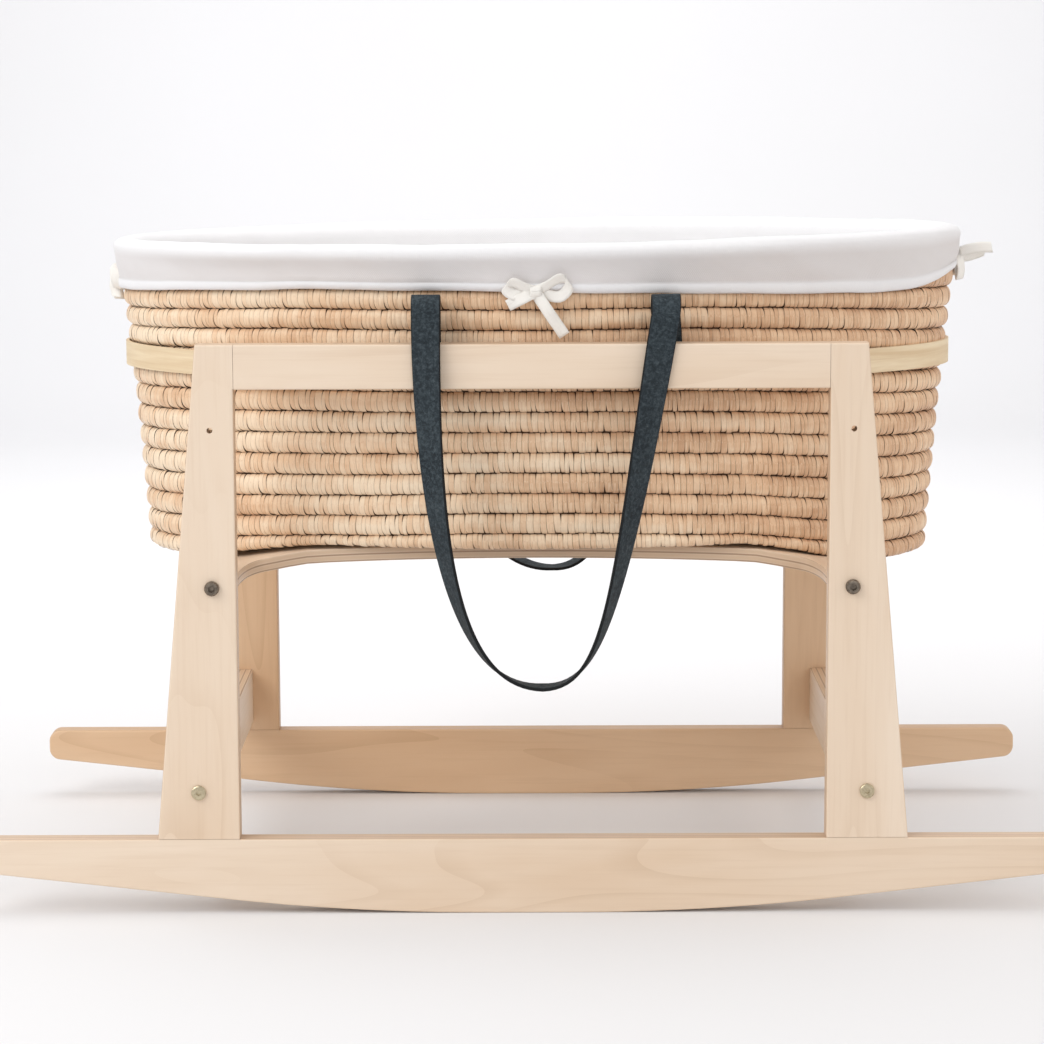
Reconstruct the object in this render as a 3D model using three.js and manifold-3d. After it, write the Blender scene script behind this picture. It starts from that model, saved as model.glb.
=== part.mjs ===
// Bassinet on a rocking stand: a coiled palm-leaf basket with a cotton liner, a mattress and two
// leather handles, on a birch plywood stand. Millimetres, +Z up, +X to the head end, -Y to the front.
// The origin is on the floor, under the middle of the stand.
import * as THREE from 'three';
import { mergeVertices } from 'three/addons/utils/BufferGeometryUtils.js';
import Module from 'manifold-3d';

const wasm = await Module();
wasm.setup();

// ---- Driving dimensions ----
// Clearances
const fit = 0.3;                 // between pieces that touch
const railClearance = 11;        // from the basket's side to the inside of a rail
const hoopClearance = 1.4;       // from the basket's end to a hoop

// Basket, measured over the coils
const basketHalfLength = 377.6;  // at rail height
const basketHalfWidth = 210.5;   // at rail height
const basketPlanPower = 1.88;    // 2 is an ellipse, less is a more pointed plan
const basketX = 6;               // the basket and its hoops sit this far to the head end
const basketHeight = 262;
const basketWall = 15;
const basketFlare = 25;          // how far the rim stands out past the base, all round
const basketSags = [20, 25];     // how far the underside droops at the foot and the head end
const sagRuns = [[180, 360], [175, 330]];  // where each droop begins and where it is complete
const headRise = 10;             // how much higher the rim is at the head than at the foot

// Liner and mattress
const linerCloth = 2;
const linerRimPad = 7;           // padding over the rim
const skirtDepth = 38;           // from the top of the rim to the hem, outside
const mattressThickness = 42;
const mattressClearance = 4;

// Side frames
const frameThickness = 20;
const legInner = 257;            // half the clear width between the legs of a frame
const legTopWidth = 32.7;
const legBottomWidth = 72;
const legTop = 502;
const railHeight = 39;
const edgeRadius = 1.4;
const tyingHoleRadius = 2.6;
const tyingHoleInset = 20.8;     // from a leg's inner edge
const tyingHoleDrop = 74;        // below the top of the leg

// Rockers
const rockerHalfLength = 492;
const rockerHeight = 67;
const rockerRadius = 2040;
const rockerFlat = 40;           // half the flat in the middle of the underside
const rockerArcEnd = 258;
const rockerTipRadius = 11;

// Seat
const seatTop = 315.7;           // at the middle of the arch
const seatThickness = 12;
const seatWaist = 162;           // half the seat's width between its flares
const seatArchRadius = 4520;
const seatArchEnd = 190;
const seatBendRadius = 150;
const seatEndSlope = THREE.MathUtils.degToRad(11);
const seatPastBolt = 13.5;       // from the bolts to the seat's ends
const seatFlareLength = 19;      // the run in which the waist widens, next to the legs

// Cross braces
const braceInset = 35.5;         // from a leg's inner edge to the middle of the brace
const braceGap = 9;              // above the rocker
const braceHeight = 54;
const braceThickness = 18;

// Hoops
const hoopThickness = 3;
const hoopHeight = 22;
const hoopRise = 2;              // from the rail's underside to the hoop's
const hoopLeaves = 0.805;        // how far along the basket a hoop leaves its curve for the rail
const hoopLand = 26;             // length screwed against the rail

// Fasteners
const boltRadius = 3;
const boltReach = 42;            // from under the head to the tip
const boltHeadRadius = 6.5;
const upperHeadHeight = 5;
const lowerHeadHeight = 2.6;
const lowerBoltRise = 33;        // above the brace's underside
const upperBoltInset = 21;       // from a leg's inner edge
const insertRadius = 4.1;
const insertLength = 15;
const dowelRadius = 4;
const dowelLength = 36;
const hoopScrewRadius = 1.8;
const hoopScrewLength = 15;

// Handles
const strapWidth = 25;
const strapThickness = 3;
const strapFoldRise = 27.5;      // from the rail's top to the line that a handle swings about
const strapFree = 0.7;           // from the rail's face to the hanging strap
const loopRise = 5;              // how far a loop's ends stand above that line
const tabStop = THREE.MathUtils.degToRad(55); // where a tab's fold ends, above level
const tabRise = 1;               // from the rail's underside to the foot of a tab
const handles = {
  front: { foldLeft: -91, foldRight: 115.5, bottomX: 8.6, bottomZ: 204.5, leanRight: 0.13 },
  rear: { foldLeft: -93, foldRight: 118, bottomX: 21.6, bottomZ: 229, leanRight: 0.1 },
};

// Bows of tape
const tapeWidth = 9;
const bowLoop = 22;              // length of one loop of a bow
const bowTail = 30;
const bowThickness = 6;
const bowX = 0;                  // where the front and rear bows sit, from the basket's middle

// ---- Sizes that follow ----
const basketBottom = seatTop + fit;
const basketTop = basketBottom + basketHeight;
const floorTop = basketBottom + basketWall;
const railInner = basketHalfWidth + railClearance;
const railOuter = railInner + frameThickness;
const railBottom = legTop - railHeight;
const hoopBottom = railBottom + hoopRise;
const hoopMiddle = hoopBottom + hoopHeight / 2;
const tabBottom = railBottom + tabRise;
const strapFoldZ = legTop + strapFoldRise;
const braceX = legInner + braceInset;
const braceBottom = rockerHeight + braceGap;
const lowerBoltZ = braceBottom + lowerBoltRise;
const upperBoltX = legInner + upperBoltInset;
const tyingHoleX = legInner + tyingHoleInset;
const tyingHoleZ = legTop - tyingHoleDrop;
const rimTop = basketTop + fit + linerRimPad;
const hemZ = rimTop - skirtDepth;
const dowelX = legInner + legBottomWidth / 2;
const upperBoltZ = seatMiddleAt(upperBoltX);
const hoopPlan = hoopQuarter();
const hoopScrewX = hoopPlan[0].x + 8;

// ---- Materials ----
const finish = (colour, roughness, metalness = 0) =>
  new THREE.MeshStandardMaterial({ color: colour, roughness, metalness });
const birch = finish('#e6d3bc', 0.55);
const ply = finish('#cfae8a', 0.6);
const ash = finish('#e2c99a', 0.5);
const beech = finish('#d9b88c', 0.6);
const palm = finish('#c9a27a', 0.8);
const cotton = finish('#f4f3f2', 0.95);
const tape = finish('#efe6d6', 0.95);
const ticking = finish('#f1efea', 0.95);
const leather = finish('#3d4a55', 0.5);
const bronze = finish('#6b5136', 0.4, 1);
const brass = finish('#b79a63', 0.35, 1);
const zinc = finish('#9a9a96', 0.4, 1);

// ---- Solids ----
function toSolid(geometry) {
  const bare = geometry.clone();
  bare.deleteAttribute('normal');
  bare.deleteAttribute('uv');
  const merged = mergeVertices(bare, 1e-4);
  return new wasm.Manifold(new wasm.Mesh({
    numProp: 3,
    vertProperties: new Float32Array(merged.attributes.position.array),
    triVerts: new Uint32Array(merged.index.array),
  }));
}

function toGeometry(solid) {
  const mesh = solid.getMesh();
  const geometry = new THREE.BufferGeometry();
  geometry.setAttribute('position', new THREE.BufferAttribute(mesh.vertProperties, 3));
  geometry.setIndex(new THREE.BufferAttribute(mesh.triVerts, 1));
  geometry.computeVertexNormals();
  return geometry;
}

function cut(geometry, cutters) {
  let solid = toSolid(geometry);
  for (const cutter of cutters) {
    solid = solid.subtract(toSolid(cutter));
  }
  return toGeometry(solid);
}

// A box between two corners
function block(low, high) {
  const size = high.map((value, axis) => value - low[axis]);
  const centre = high.map((value, axis) => (value + low[axis]) / 2);
  return new THREE.BoxGeometry(...size).translate(...centre);
}

// A cylinder whose axis runs along x, y or z
function rod(radius, length, axis, x, y, z, sides = 12) {
  const cylinder = new THREE.CylinderGeometry(radius, radius, length, sides);
  if (axis === 'x') cylinder.rotateZ(Math.PI / 2);
  if (axis === 'z') cylinder.rotateX(Math.PI / 2);
  return cylinder.translate(x, y, z);
}

// A shape drawn in x and z, standing between two values of y
function slab(shape, nearY, farY, bevel = 0) {
  const geometry = new THREE.ExtrudeGeometry(shape, {
    depth: farY - nearY - 2 * bevel,
    bevelEnabled: bevel > 0,
    bevelSize: bevel,
    bevelThickness: bevel,
    bevelOffset: -bevel,
    bevelSegments: 2,
    curveSegments: 5,
  });
  return geometry.rotateX(Math.PI / 2).translate(0, farY - bevel, 0);
}

// The outline of a strip of even thickness along a line of points
function ribbon(points, thickness) {
  const sides = [[], []];
  points.forEach((point, i) => {
    const before = points[Math.max(i - 1, 0)];
    const after = points[Math.min(i + 1, points.length - 1)];
    const along = after.clone().sub(before).normalize();
    const across = new THREE.Vector2(-along.y, along.x).multiplyScalar(thickness / 2);
    sides[0].push(point.clone().add(across));
    sides[1].push(point.clone().sub(across));
  });
  return new THREE.Shape([...sides[0], ...sides[1].reverse()]);
}

const root = new THREE.Group();

function add(name, geometry, material) {
  const mesh = new THREE.Mesh(geometry, material);
  mesh.name = name;
  root.add(mesh);
}

const ends = [['left', -1], ['right', 1]];
const frames = [['front', -1], ['rear', 1]];

// ---- Side frames ----
function undersideAt(x) {
  const past = Math.abs(x) - rockerFlat;
  if (past <= 0) return 0;
  const arc = rockerArcEnd - rockerFlat;
  const drop = (run) => rockerRadius - Math.sqrt(rockerRadius ** 2 - run ** 2);
  if (past <= arc) return drop(past);
  return drop(arc) + (past - arc) * arc / Math.sqrt(rockerRadius ** 2 - arc ** 2);
}

function rockerShape() {
  const tipBottom = undersideAt(rockerHalfLength);
  const corner = rockerTipRadius;
  const shape = new THREE.Shape();
  shape.absarc(-rockerHalfLength + corner, rockerHeight - corner, corner, Math.PI / 2, Math.PI);
  shape.absarc(-rockerHalfLength + corner, tipBottom + corner, corner, Math.PI, Math.PI * 1.47);
  const steps = 10;
  for (const side of [-1, 1]) {
    for (let i = 0; i <= steps; i += 1) {
      const share = side < 0 ? 1 - i / steps : i / steps;
      const x = side * (rockerFlat + share * (rockerArcEnd - rockerFlat));
      shape.lineTo(x, undersideAt(x));
    }
  }
  shape.absarc(rockerHalfLength - corner, tipBottom + corner, corner, Math.PI * 1.53, Math.PI * 2);
  shape.absarc(rockerHalfLength - corner, rockerHeight - corner, corner, 0, Math.PI / 2);
  return shape;
}

// Two legs and the rail between them, with the legs run on down into the rocker
function uprightShape() {
  const foot = rockerHeight - 4 * edgeRadius;
  const splay = (legBottomWidth - legTopWidth) / (legTop - rockerHeight);
  const outerFoot = legInner + legBottomWidth + splay * (rockerHeight - foot);
  const outerTop = legInner + legTopWidth;
  return new THREE.Shape([
    [outerFoot, foot], [outerTop, legTop], [-outerTop, legTop], [-outerFoot, foot],
    [-legInner, foot], [-legInner, railBottom], [legInner, railBottom], [legInner, foot],
  ].map(([x, z]) => new THREE.Vector2(x, z)));
}

// The whole frame in one piece, so that its joints come out flush when it is cut apart
function frameBlank(near, far) {
  const rocker = toSolid(slab(rockerShape(), near, far, edgeRadius));
  return rocker.add(toSolid(slab(uprightShape(), near, far, edgeRadius)));
}

const beyond = rockerHalfLength + 10;

function legHoles(side, y) {
  return [
    rod(boltRadius + fit, frameThickness * 3, 'y', side * upperBoltX, y, upperBoltZ),
    rod(boltRadius + fit, frameThickness * 3, 'y', side * braceX, y, lowerBoltZ),
    rod(tyingHoleRadius, frameThickness * 3, 'y', side * tyingHoleX, y, tyingHoleZ, 16),
    dowelHole('x', side * legInner, y, legTop - railHeight / 2),
    dowelHole('z', side * dowelX, y, rockerHeight),
  ];
}

function dowelHole(axis, x, y, z) {
  return rod(dowelRadius + fit / 2, dowelLength + 2, axis, x, y, z);
}

for (const [frame, depth] of frames) {
  const middle = depth * (railInner + railOuter) / 2;
  const near = middle - frameThickness / 2;
  const far = middle + frameThickness / 2;
  const blank = frameBlank(near, far);
  const part = (low, high) => blank.intersect(toSolid(block(low, high)));
  const rockerBox = [[-beyond, near - 1, -1], [beyond, far + 1, rockerHeight]];
  let rocker = part(...rockerBox);
  const railBox = [
    [-legInner + fit, near - 1, railBottom - 1],
    [legInner - fit, far + 1, legTop + 1],
  ];
  let rail = part(...railBox);
  for (const [hand, side] of ends) {
    const xs = [side * legInner, side * beyond].sort((a, b) => a - b);
    let leg = part([xs[0], near - 1, rockerHeight + fit], [xs[1], far + 1, legTop + 1]);
    for (const hole of legHoles(side, middle)) {
      leg = leg.subtract(toSolid(hole));
    }
    add(`${frame}_leg_${hand}`, toGeometry(leg), birch);
    rocker = rocker.subtract(toSolid(dowelHole('z', side * dowelX, middle, rockerHeight)));
    rail = rail.subtract(toSolid(dowelHole('x', side * legInner, middle, legTop - railHeight / 2)));
    rail = rail.subtract(toSolid(hoopScrewHole(side, depth)));
    add(`${frame}_rail_dowel_${hand}`,
      rod(dowelRadius, dowelLength, 'x', side * legInner, middle, legTop - railHeight / 2), beech);
    add(`${frame}_rocker_dowel_${hand}`,
      rod(dowelRadius, dowelLength, 'z', side * dowelX, middle, rockerHeight), beech);
  }
  add(`${frame}_rocker`, toGeometry(rocker), birch);
  add(`${frame}_rail`, toGeometry(rail), birch);
}

// ---- Seat ----
// Height of the middle of the seat's thickness: a shallow arch, a bend, then a straight slope
function seatMiddleAt(x) {
  const top = seatTop - seatThickness / 2;
  const run = Math.abs(x);
  const archDrop = (reach) => seatArchRadius - Math.sqrt(seatArchRadius ** 2 - reach ** 2);
  if (run <= seatArchEnd) return top - archDrop(run);
  const startAngle = Math.asin(seatArchEnd / seatArchRadius);
  const bendEnd = seatArchEnd + seatBendRadius * (Math.sin(seatEndSlope) - Math.sin(startAngle));
  const bendTop = top - archDrop(seatArchEnd);
  const bendX = Math.min(run, bendEnd) - seatArchEnd;
  const bendAngle = Math.asin(Math.sin(startAngle) + bendX / seatBendRadius);
  const bent = bendTop - seatBendRadius * (Math.cos(startAngle) - Math.cos(bendAngle));
  return bent - Math.max(run - bendEnd, 0) * Math.tan(seatEndSlope);
}

function seatProfile() {
  const points = [];
  const half = upperBoltX + seatPastBolt;
  const steps = 16;
  const step = half / steps;
  for (let i = -steps; i <= steps; i += 1) {
    points.push(new THREE.Vector2(i * step, seatMiddleAt(i * step)));
  }
  return ribbon(points, seatThickness);
}

// What is cut away from one side of the seat to leave its waist
function seatSideCut(depth) {
  const full = railInner + 5;
  const flareStart = legInner - seatFlareLength;
  const shape = new THREE.Shape();
  shape.moveTo(-flareStart, seatWaist);
  shape.lineTo(flareStart, seatWaist);
  shape.quadraticCurveTo(legInner, seatWaist, legInner, full);
  shape.lineTo(-legInner, full);
  shape.quadraticCurveTo(-legInner, seatWaist, -flareStart, seatWaist);
  const options = { depth: seatTop, bevelEnabled: false, curveSegments: 8 };
  const geometry = new THREE.ExtrudeGeometry(shape, options);
  return depth > 0 ? geometry : geometry.rotateX(Math.PI).translate(0, 0, seatTop);
}

function insertPocket(x, depth, z) {
  const length = boltReach - frameThickness + 3;
  return rod(insertRadius + fit / 2, length, 'y', x, depth * (railInner - length / 2), z);
}

function makeSeat() {
  const reach = railInner - fit;
  const cutters = [];
  for (const [, depth] of frames) {
    cutters.push(seatSideCut(depth));
    for (const [, side] of ends) {
      cutters.push(insertPocket(side * upperBoltX, depth, upperBoltZ));
    }
  }
  return cut(slab(seatProfile(), -reach, reach), cutters);
}

add('seat', makeSeat(), ply);

// ---- Cross braces ----
function makeBrace(side) {
  const radius = 1.2;
  const half = braceThickness / 2 - radius;
  const low = braceBottom + radius;
  const high = braceBottom + braceHeight - radius;
  const x = side * braceX;
  const shape = new THREE.Shape();
  shape.absarc(x + half, high, radius, 0, Math.PI / 2);
  shape.absarc(x - half, high, radius, Math.PI / 2, Math.PI);
  shape.absarc(x - half, low, radius, Math.PI, Math.PI * 1.5);
  shape.absarc(x + half, low, radius, Math.PI * 1.5, Math.PI * 2);
  const bar = new THREE.ExtrudeGeometry(shape, {
    depth: 2 * (railInner - fit),
    bevelEnabled: false,
    curveSegments: 3,
  });
  bar.rotateX(Math.PI / 2).translate(0, railInner - fit, 0);
  return cut(bar, frames.map(([, depth]) => insertPocket(x, depth, lowerBoltZ)));
}

for (const [hand, side] of ends) {
  add(`brace_${hand}`, makeBrace(side), ply);
}

// ---- Bolts and threaded inserts ----
function makeBolt(headHeight, socketRadius) {
  const bulge = headHeight * 0.35;
  const profile = [
    [0, -boltReach], [boltRadius - 0.6, -boltReach], [boltRadius, -boltReach + 0.6], [boltRadius, 0],
    [boltHeadRadius, 0], [boltHeadRadius, headHeight - bulge],
    [boltHeadRadius * 0.86, headHeight - bulge * 0.3], [boltHeadRadius * 0.6, headHeight], [0, headHeight],
  ].map(([radius, along]) => new THREE.Vector2(radius, along));
  const socket = new THREE.CylinderGeometry(socketRadius, socketRadius, headHeight * 1.4, 6);
  return cut(new THREE.LatheGeometry(profile, 18), [socket.translate(0, headHeight, 0)]);
}

function makeInsert() {
  const bore = boltRadius + fit / 2;
  const profile = [
    [bore, 0], [insertRadius, 0], [insertRadius, insertLength], [bore, insertLength], [bore, 0],
  ].map(([radius, along]) => new THREE.Vector2(radius, along));
  return new THREE.LatheGeometry(profile, 12);
}

for (const [frame, depth] of frames) {
  for (const [hand, side] of ends) {
    const places = [
      ['upper', side * upperBoltX, upperBoltZ, upperHeadHeight, 3.2, bronze],
      ['lower', side * braceX, lowerBoltZ, lowerHeadHeight, 2.2, brass],
    ];
    for (const [level, x, z, headHeight, socketRadius, metal] of places) {
      const bolt = makeBolt(headHeight, socketRadius);
      const insert = makeInsert();
      if (depth < 0) {
        bolt.rotateZ(Math.PI);
        insert.rotateZ(Math.PI);
      }
      bolt.translate(x, depth * (railOuter + fit), z);
      insert.translate(x, depth * (railInner - 2 * fit - insertLength), z);
      add(`${frame}_${level}_bolt_${hand}`, bolt, metal);
      add(`${frame}_${level}_insert_${hand}`, insert, zinc);
    }
  }
}

// ---- Basket ----
// Plan of a level of the basket: half sizes grow with height, and the corner power is the same
function levelAt(z) {
  const share = (z - basketBottom) / basketHeight;
  const grow = (level) => basketFlare * (0.76 * level + 0.24 * level ** 2);
  const railShare = (hoopMiddle - basketBottom) / basketHeight;
  const spread = grow(share) - grow(railShare);
  return { halfLength: basketHalfLength + spread, halfWidth: basketHalfWidth + spread };
}

function planPoint(halfLength, halfWidth, angle) {
  const bend = (value) => Math.sign(value) * Math.abs(value) ** (2 / basketPlanPower);
  return new THREE.Vector2(halfLength * bend(Math.cos(angle)), halfWidth * bend(Math.sin(angle)));
}

// How far a point moves up or down: the rim climbs to the head end, and outside, the ends droop
function settleAt(x, z, isOutside) {
  const share = THREE.MathUtils.clamp((z - basketBottom) / (hoopMiddle - basketBottom), 0, 1);
  const end = x < 0 ? 0 : 1;
  const droop = basketSags[end] * THREE.MathUtils.smoothstep(Math.abs(x), ...sagRuns[end]);
  const lift = THREE.MathUtils.clamp((z - hoopMiddle) / (rimTop - hoopMiddle), 0, 1);
  const climb = headRise / 2 * lift * x / basketHalfLength;
  return isOutside ? climb - droop * (1 - share) : climb;
}

// A surface round the basket: each profile point is an inset from the coils' outside and a height,
// or, where it has a third value, a share of the way from the axis to that inset
function basketSurface(profile, steps = 56) {
  const outline = profile.map(([, z, share = 1]) => new THREE.Vector2(share, z));
  const lathe = new THREE.LatheGeometry(outline, steps);
  const position = lathe.attributes.position;
  const count = profile.length;
  for (let i = 0; i < position.count; i += 1) {
    const [inset, z, share = 1] = profile[i % count];
    const angle = (Math.floor(i / count) % steps) / steps * Math.PI * 2;
    const level = levelAt(z);
    const spot = planPoint(level.halfLength - inset, level.halfWidth - inset, angle).multiplyScalar(share);
    const reach = planPoint(basketHalfLength, basketHalfWidth, angle).x * share;
    const settle = settleAt(reach, z, inset < basketWall / 2);
    position.setXYZ(i, basketX + spot.x, spot.y, z + settle);
  }
  lathe.deleteAttribute('normal');
  lathe.deleteAttribute('uv');
  const geometry = mergeVertices(lathe, 1e-4);
  geometry.computeVertexNormals();
  return geometry;
}

// Heights at even steps from one level to another, the first left out
function levels(from, to, count) {
  return Array.from({ length: count }, (_, i) => from + (to - from) * (i + 1) / count);
}

function makeBasket() {
  const outside = levels(basketBottom, basketTop, 6).map((z) => [0, z]);
  const inside = levels(basketTop, floorTop, 5).map((z) => [basketWall, z]);
  return basketSurface([
    [0, basketBottom, 0], ...[0.45, 0.6, 0.7, 0.85, 1].map((share) => [0, basketBottom, share]),
    ...outside, [basketWall, basketTop], ...inside, [basketWall, floorTop, 0.6], [0, floorTop, 0],
  ]);
}

add('basket', makeBasket(), palm);

// ---- Liner ----
function makeLiner() {
  const outer = -fit;
  const inner = basketWall + fit;
  const under = basketTop + fit;
  const skin = linerCloth;
  const floor = floorTop + fit;
  const round = linerRimPad + skin;
  return basketSurface([
    [0, floor, 0], [inner, floor, 0.6], [inner, floor],
    ...levels(floor, under, 5).map((z) => [inner, z]),
    [outer, under], [outer, (under + hemZ) / 2], [outer, hemZ],
    [outer - skin, hemZ], [outer - skin, (under + hemZ) / 2], [outer - round * 0.6, under - round],
    [outer - round * 0.8, under - round * 0.3], [outer - round * 0.3, rimTop - round * 0.2],
    [basketWall * 0.35, rimTop], [basketWall * 0.75, rimTop - round * 0.15],
    [inner + skin, under - round * 0.4],
    ...levels(under - round * 0.4, floor + skin, 3).map((z) => [inner + skin, z]),
    [inner + skin, floor + skin, 0.6], [0, floor + skin, 0],
  ]);
}

add('liner', makeLiner(), cotton);

// ---- Mattress ----
function makeMattress() {
  const bottom = floorTop + linerCloth + 2 * fit;
  const top = bottom + mattressThickness;
  const inset = basketWall + linerCloth + mattressClearance;
  const round = 8;
  return basketSurface([
    [0, bottom, 0], [inset + round, bottom, 0.6], [inset + round, bottom], [inset, bottom + round],
    [inset, top - round], [inset + round, top], [inset + round, top, 0.6], [0, top, 0],
  ]);
}

add('mattress', makeMattress(), ticking);

// ---- Hoops ----
// Plan of one quarter of a hoop, from its land on the rail to the tip of the basket
function hoopQuarter() {
  const level = levelAt(hoopMiddle + hoopHeight / 2);
  const stand = hoopClearance + hoopThickness / 2;
  const halfLength = level.halfLength + stand;
  const halfWidth = level.halfWidth + stand;
  const curve = [];
  const steps = 14;
  const leave = Math.acos(hoopLeaves ** (basketPlanPower / 2));
  for (let i = 0; i <= steps; i += 1) {
    curve.push(planPoint(halfLength, halfWidth, leave * (1 - i / steps)));
  }
  const slope = (curve[0].y - curve[1].y) / (curve[1].x - curve[0].x);
  const landY = railInner - fit - hoopThickness / 2;
  const corner = new THREE.Vector2(curve[0].x - (landY - curve[0].y) / slope, landY);
  const away = new THREE.Vector2(1, -slope).normalize().multiplyScalar(14).add(corner);
  const start = new THREE.Vector2(corner.x - hoopLand, landY);
  const bend = new THREE.QuadraticBezierCurve(new THREE.Vector2(corner.x - 14, landY), corner, away);
  return [start, ...bend.getPoints(5), ...curve];
}

function makeHoop(side) {
  const near = hoopPlan.map((point) => new THREE.Vector2(point.x, -point.y));
  const far = hoopPlan.slice(0, -1).reverse();
  const shape = ribbon([...near, ...far], hoopThickness);
  const strip = new THREE.ExtrudeGeometry(shape, { depth: hoopHeight, bevelEnabled: false });
  strip.translate(0, 0, hoopBottom);
  if (side < 0) strip.rotateZ(Math.PI);
  strip.translate(basketX, 0, 0);
  return cut(strip, frames.map(([, depth]) => hoopScrewHole(side, depth)));
}

function hoopScrewHole(side, depth) {
  const y = depth * (railInner - hoopThickness / 2);
  const x = basketX + side * hoopScrewX;
  return rod(hoopScrewRadius + fit / 2, hoopScrewLength * 2, 'y', x, y, hoopMiddle);
}

function makeHoopScrew() {
  const profile = [
    [0, -hoopScrewLength], [hoopScrewRadius, -hoopScrewLength + 3], [hoopScrewRadius, 0],
    [4, 0], [3.4, 1.2], [2, 1.9], [0, 2.1],
  ].map(([radius, along]) => new THREE.Vector2(radius, along));
  const slot = new THREE.BoxGeometry(5.4, 1.2, 0.9).translate(0, 2, 0);
  return cut(new THREE.LatheGeometry(profile, 12), [slot]);
}

for (const [hand, side] of ends) {
  add(`hoop_${hand}`, makeHoop(side), ash);
  for (const [frame, depth] of frames) {
    const screw = makeHoopScrew();
    if (depth > 0) screw.rotateZ(Math.PI);
    const y = depth * (railInner - 2 * fit - hoopThickness);
    add(`${frame}_hoop_screw_${hand}`, screw.translate(basketX + side * hoopScrewX, y, hoopMiddle), zinc);
  }
}

// ---- Handles ----
// The coils' outside, across the basket, at one place along it
function wallY(x, z) {
  const level = levelAt(z);
  const share = 1 - (Math.abs(x - basketX) / level.halfLength) ** basketPlanPower;
  return level.halfWidth * share ** (1 / basketPlanPower);
}

const swingY = railOuter + strapFree + strapThickness / 2;

// A tab is stitched to the basket, climbs between the wall and the rail and folds over outwards
function makeTab(x, depth) {
  const clear = fit + strapThickness / 2;
  const foot = wallY(x - Math.sign(x) * strapWidth / 2, tabBottom) + clear;
  const riser = wallY(basketX, strapFoldZ) + clear;
  const radius = (swingY - riser) / 2;
  const line = [new THREE.Vector2(foot, tabBottom), new THREE.Vector2((foot + riser) / 2, tabBottom + 24)];
  const steps = 8;
  for (let i = 0; i <= steps; i += 1) {
    const angle = Math.PI - (Math.PI - tabStop) * i / steps;
    const middle = riser + radius;
    line.push(new THREE.Vector2(middle + radius * Math.cos(angle), strapFoldZ + radius * Math.sin(angle)));
  }
  const options = { depth: strapWidth, bevelEnabled: false };
  const tab = new THREE.ExtrudeGeometry(ribbon(line, strapThickness), options);
  tab.rotateX(Math.PI / 2).rotateZ(Math.PI / 2);
  if (depth < 0) tab.rotateZ(Math.PI);
  return tab.translate(x - depth * strapWidth / 2, 0, 0);
}

// The two halves of a hanging loop, from its folds down to its lowest point
function loopHalves(handle) {
  const drop = strapFoldZ - handle.bottomZ;
  const flat = (x, z) => new THREE.Vector3(x, 0, z);
  const bottom = flat(handle.bottomX, handle.bottomZ);
  const half = (foldX, lean, reach) => new THREE.CubicBezierCurve3(
    flat(foldX, strapFoldZ + loopRise), flat(foldX - lean * drop, strapFoldZ - drop * 0.8),
    flat(handle.bottomX + reach, handle.bottomZ), bottom,
  );
  return [half(handle.foldLeft, 0, -55), half(handle.foldRight, handle.leanRight, 52)];
}

// A strap is a long thin box bent along the loop; it lies flat to the rail at its folds and turns
// edge-on at the bottom, and its inner edge stays clear of the rail all the way
function makeLoop(handle, depth) {
  const steps = 44;
  const strap = new THREE.BoxGeometry(1, 1, 1, 1, 1, steps);
  const [left, right] = loopHalves(handle);
  const position = strap.attributes.position;
  for (let i = 0; i < position.count; i += 1) {
    const along = (position.getZ(i) + 0.5) * 2;
    const onLeft = along <= 1;
    const share = onLeft ? along : 2 - along;
    const centre = (onLeft ? left : right).getPointAt(share);
    const run = (onLeft ? left : right).getTangentAt(share).multiplyScalar(onLeft ? 1 : -1);
    const turn = Math.PI / 2 * share ** 0.85;
    const flatways = new THREE.Vector3(run.z, 0, -run.x);
    const out = new THREE.Vector3(0, depth, 0);
    const across = flatways.clone().multiplyScalar(-Math.cos(turn)).addScaledVector(out, Math.sin(turn));
    const through = out.clone().multiplyScalar(Math.cos(turn)).addScaledVector(flatways, Math.sin(turn));
    const lift = strapThickness / 2 * Math.cos(turn) + strapWidth / 2 * Math.sin(turn);
    centre.y = depth * (railOuter + strapFree + lift);
    centre.addScaledVector(across, position.getX(i) * strapWidth);
    centre.addScaledVector(through, position.getY(i) * strapThickness);
    position.setXYZ(i, centre.x, centre.y, centre.z);
  }
  return strap;
}

function turnedOut(geometry) {
  const solid = toSolid(geometry);
  if (solid.volume() > 0) return geometry;
  const index = geometry.index.array;
  for (let i = 0; i < index.length; i += 3) {
    [index[i], index[i + 1]] = [index[i + 1], index[i]];
  }
  return geometry;
}

for (const [frame, depth] of frames) {
  const handle = handles[frame];
  add(`${frame}_handle`, turnedOut(makeLoop(handle, depth)), leather);
  add(`${frame}_handle_tab_left`, makeTab(handle.foldLeft, depth), leather);
  add(`${frame}_handle_tab_right`, makeTab(handle.foldRight, depth), leather);
}

// ---- Bows ----
// Two loops, a knot and two tails, in the plane of the skirt, with the knot at the origin
function makeBow() {
  const ball = (x, z, length, height, turn = 0) => {
    const loop = new THREE.SphereGeometry(0.5, 8, 6).scale(length, bowThickness, height);
    return loop.rotateY(turn).translate(x, 0, z);
  };
  const tail = (lean) => {
    const strip = new THREE.BoxGeometry(tapeWidth, bowThickness / 2, bowTail);
    return strip.translate(0, 0, -bowTail / 2).rotateY(lean);
  };
  let bow = toSolid(ball(0, 0, tapeWidth, tapeWidth));
  const others = [
    ball(-bowLoop / 2, 1, bowLoop, tapeWidth * 1.4, 0.2),
    ball(bowLoop / 2, 2, bowLoop, tapeWidth * 1.6, -0.25),
    tail(0.65), tail(-0.5),
  ];
  for (const piece of others) {
    bow = bow.add(toSolid(piece));
  }
  return toGeometry(bow);
}

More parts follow.
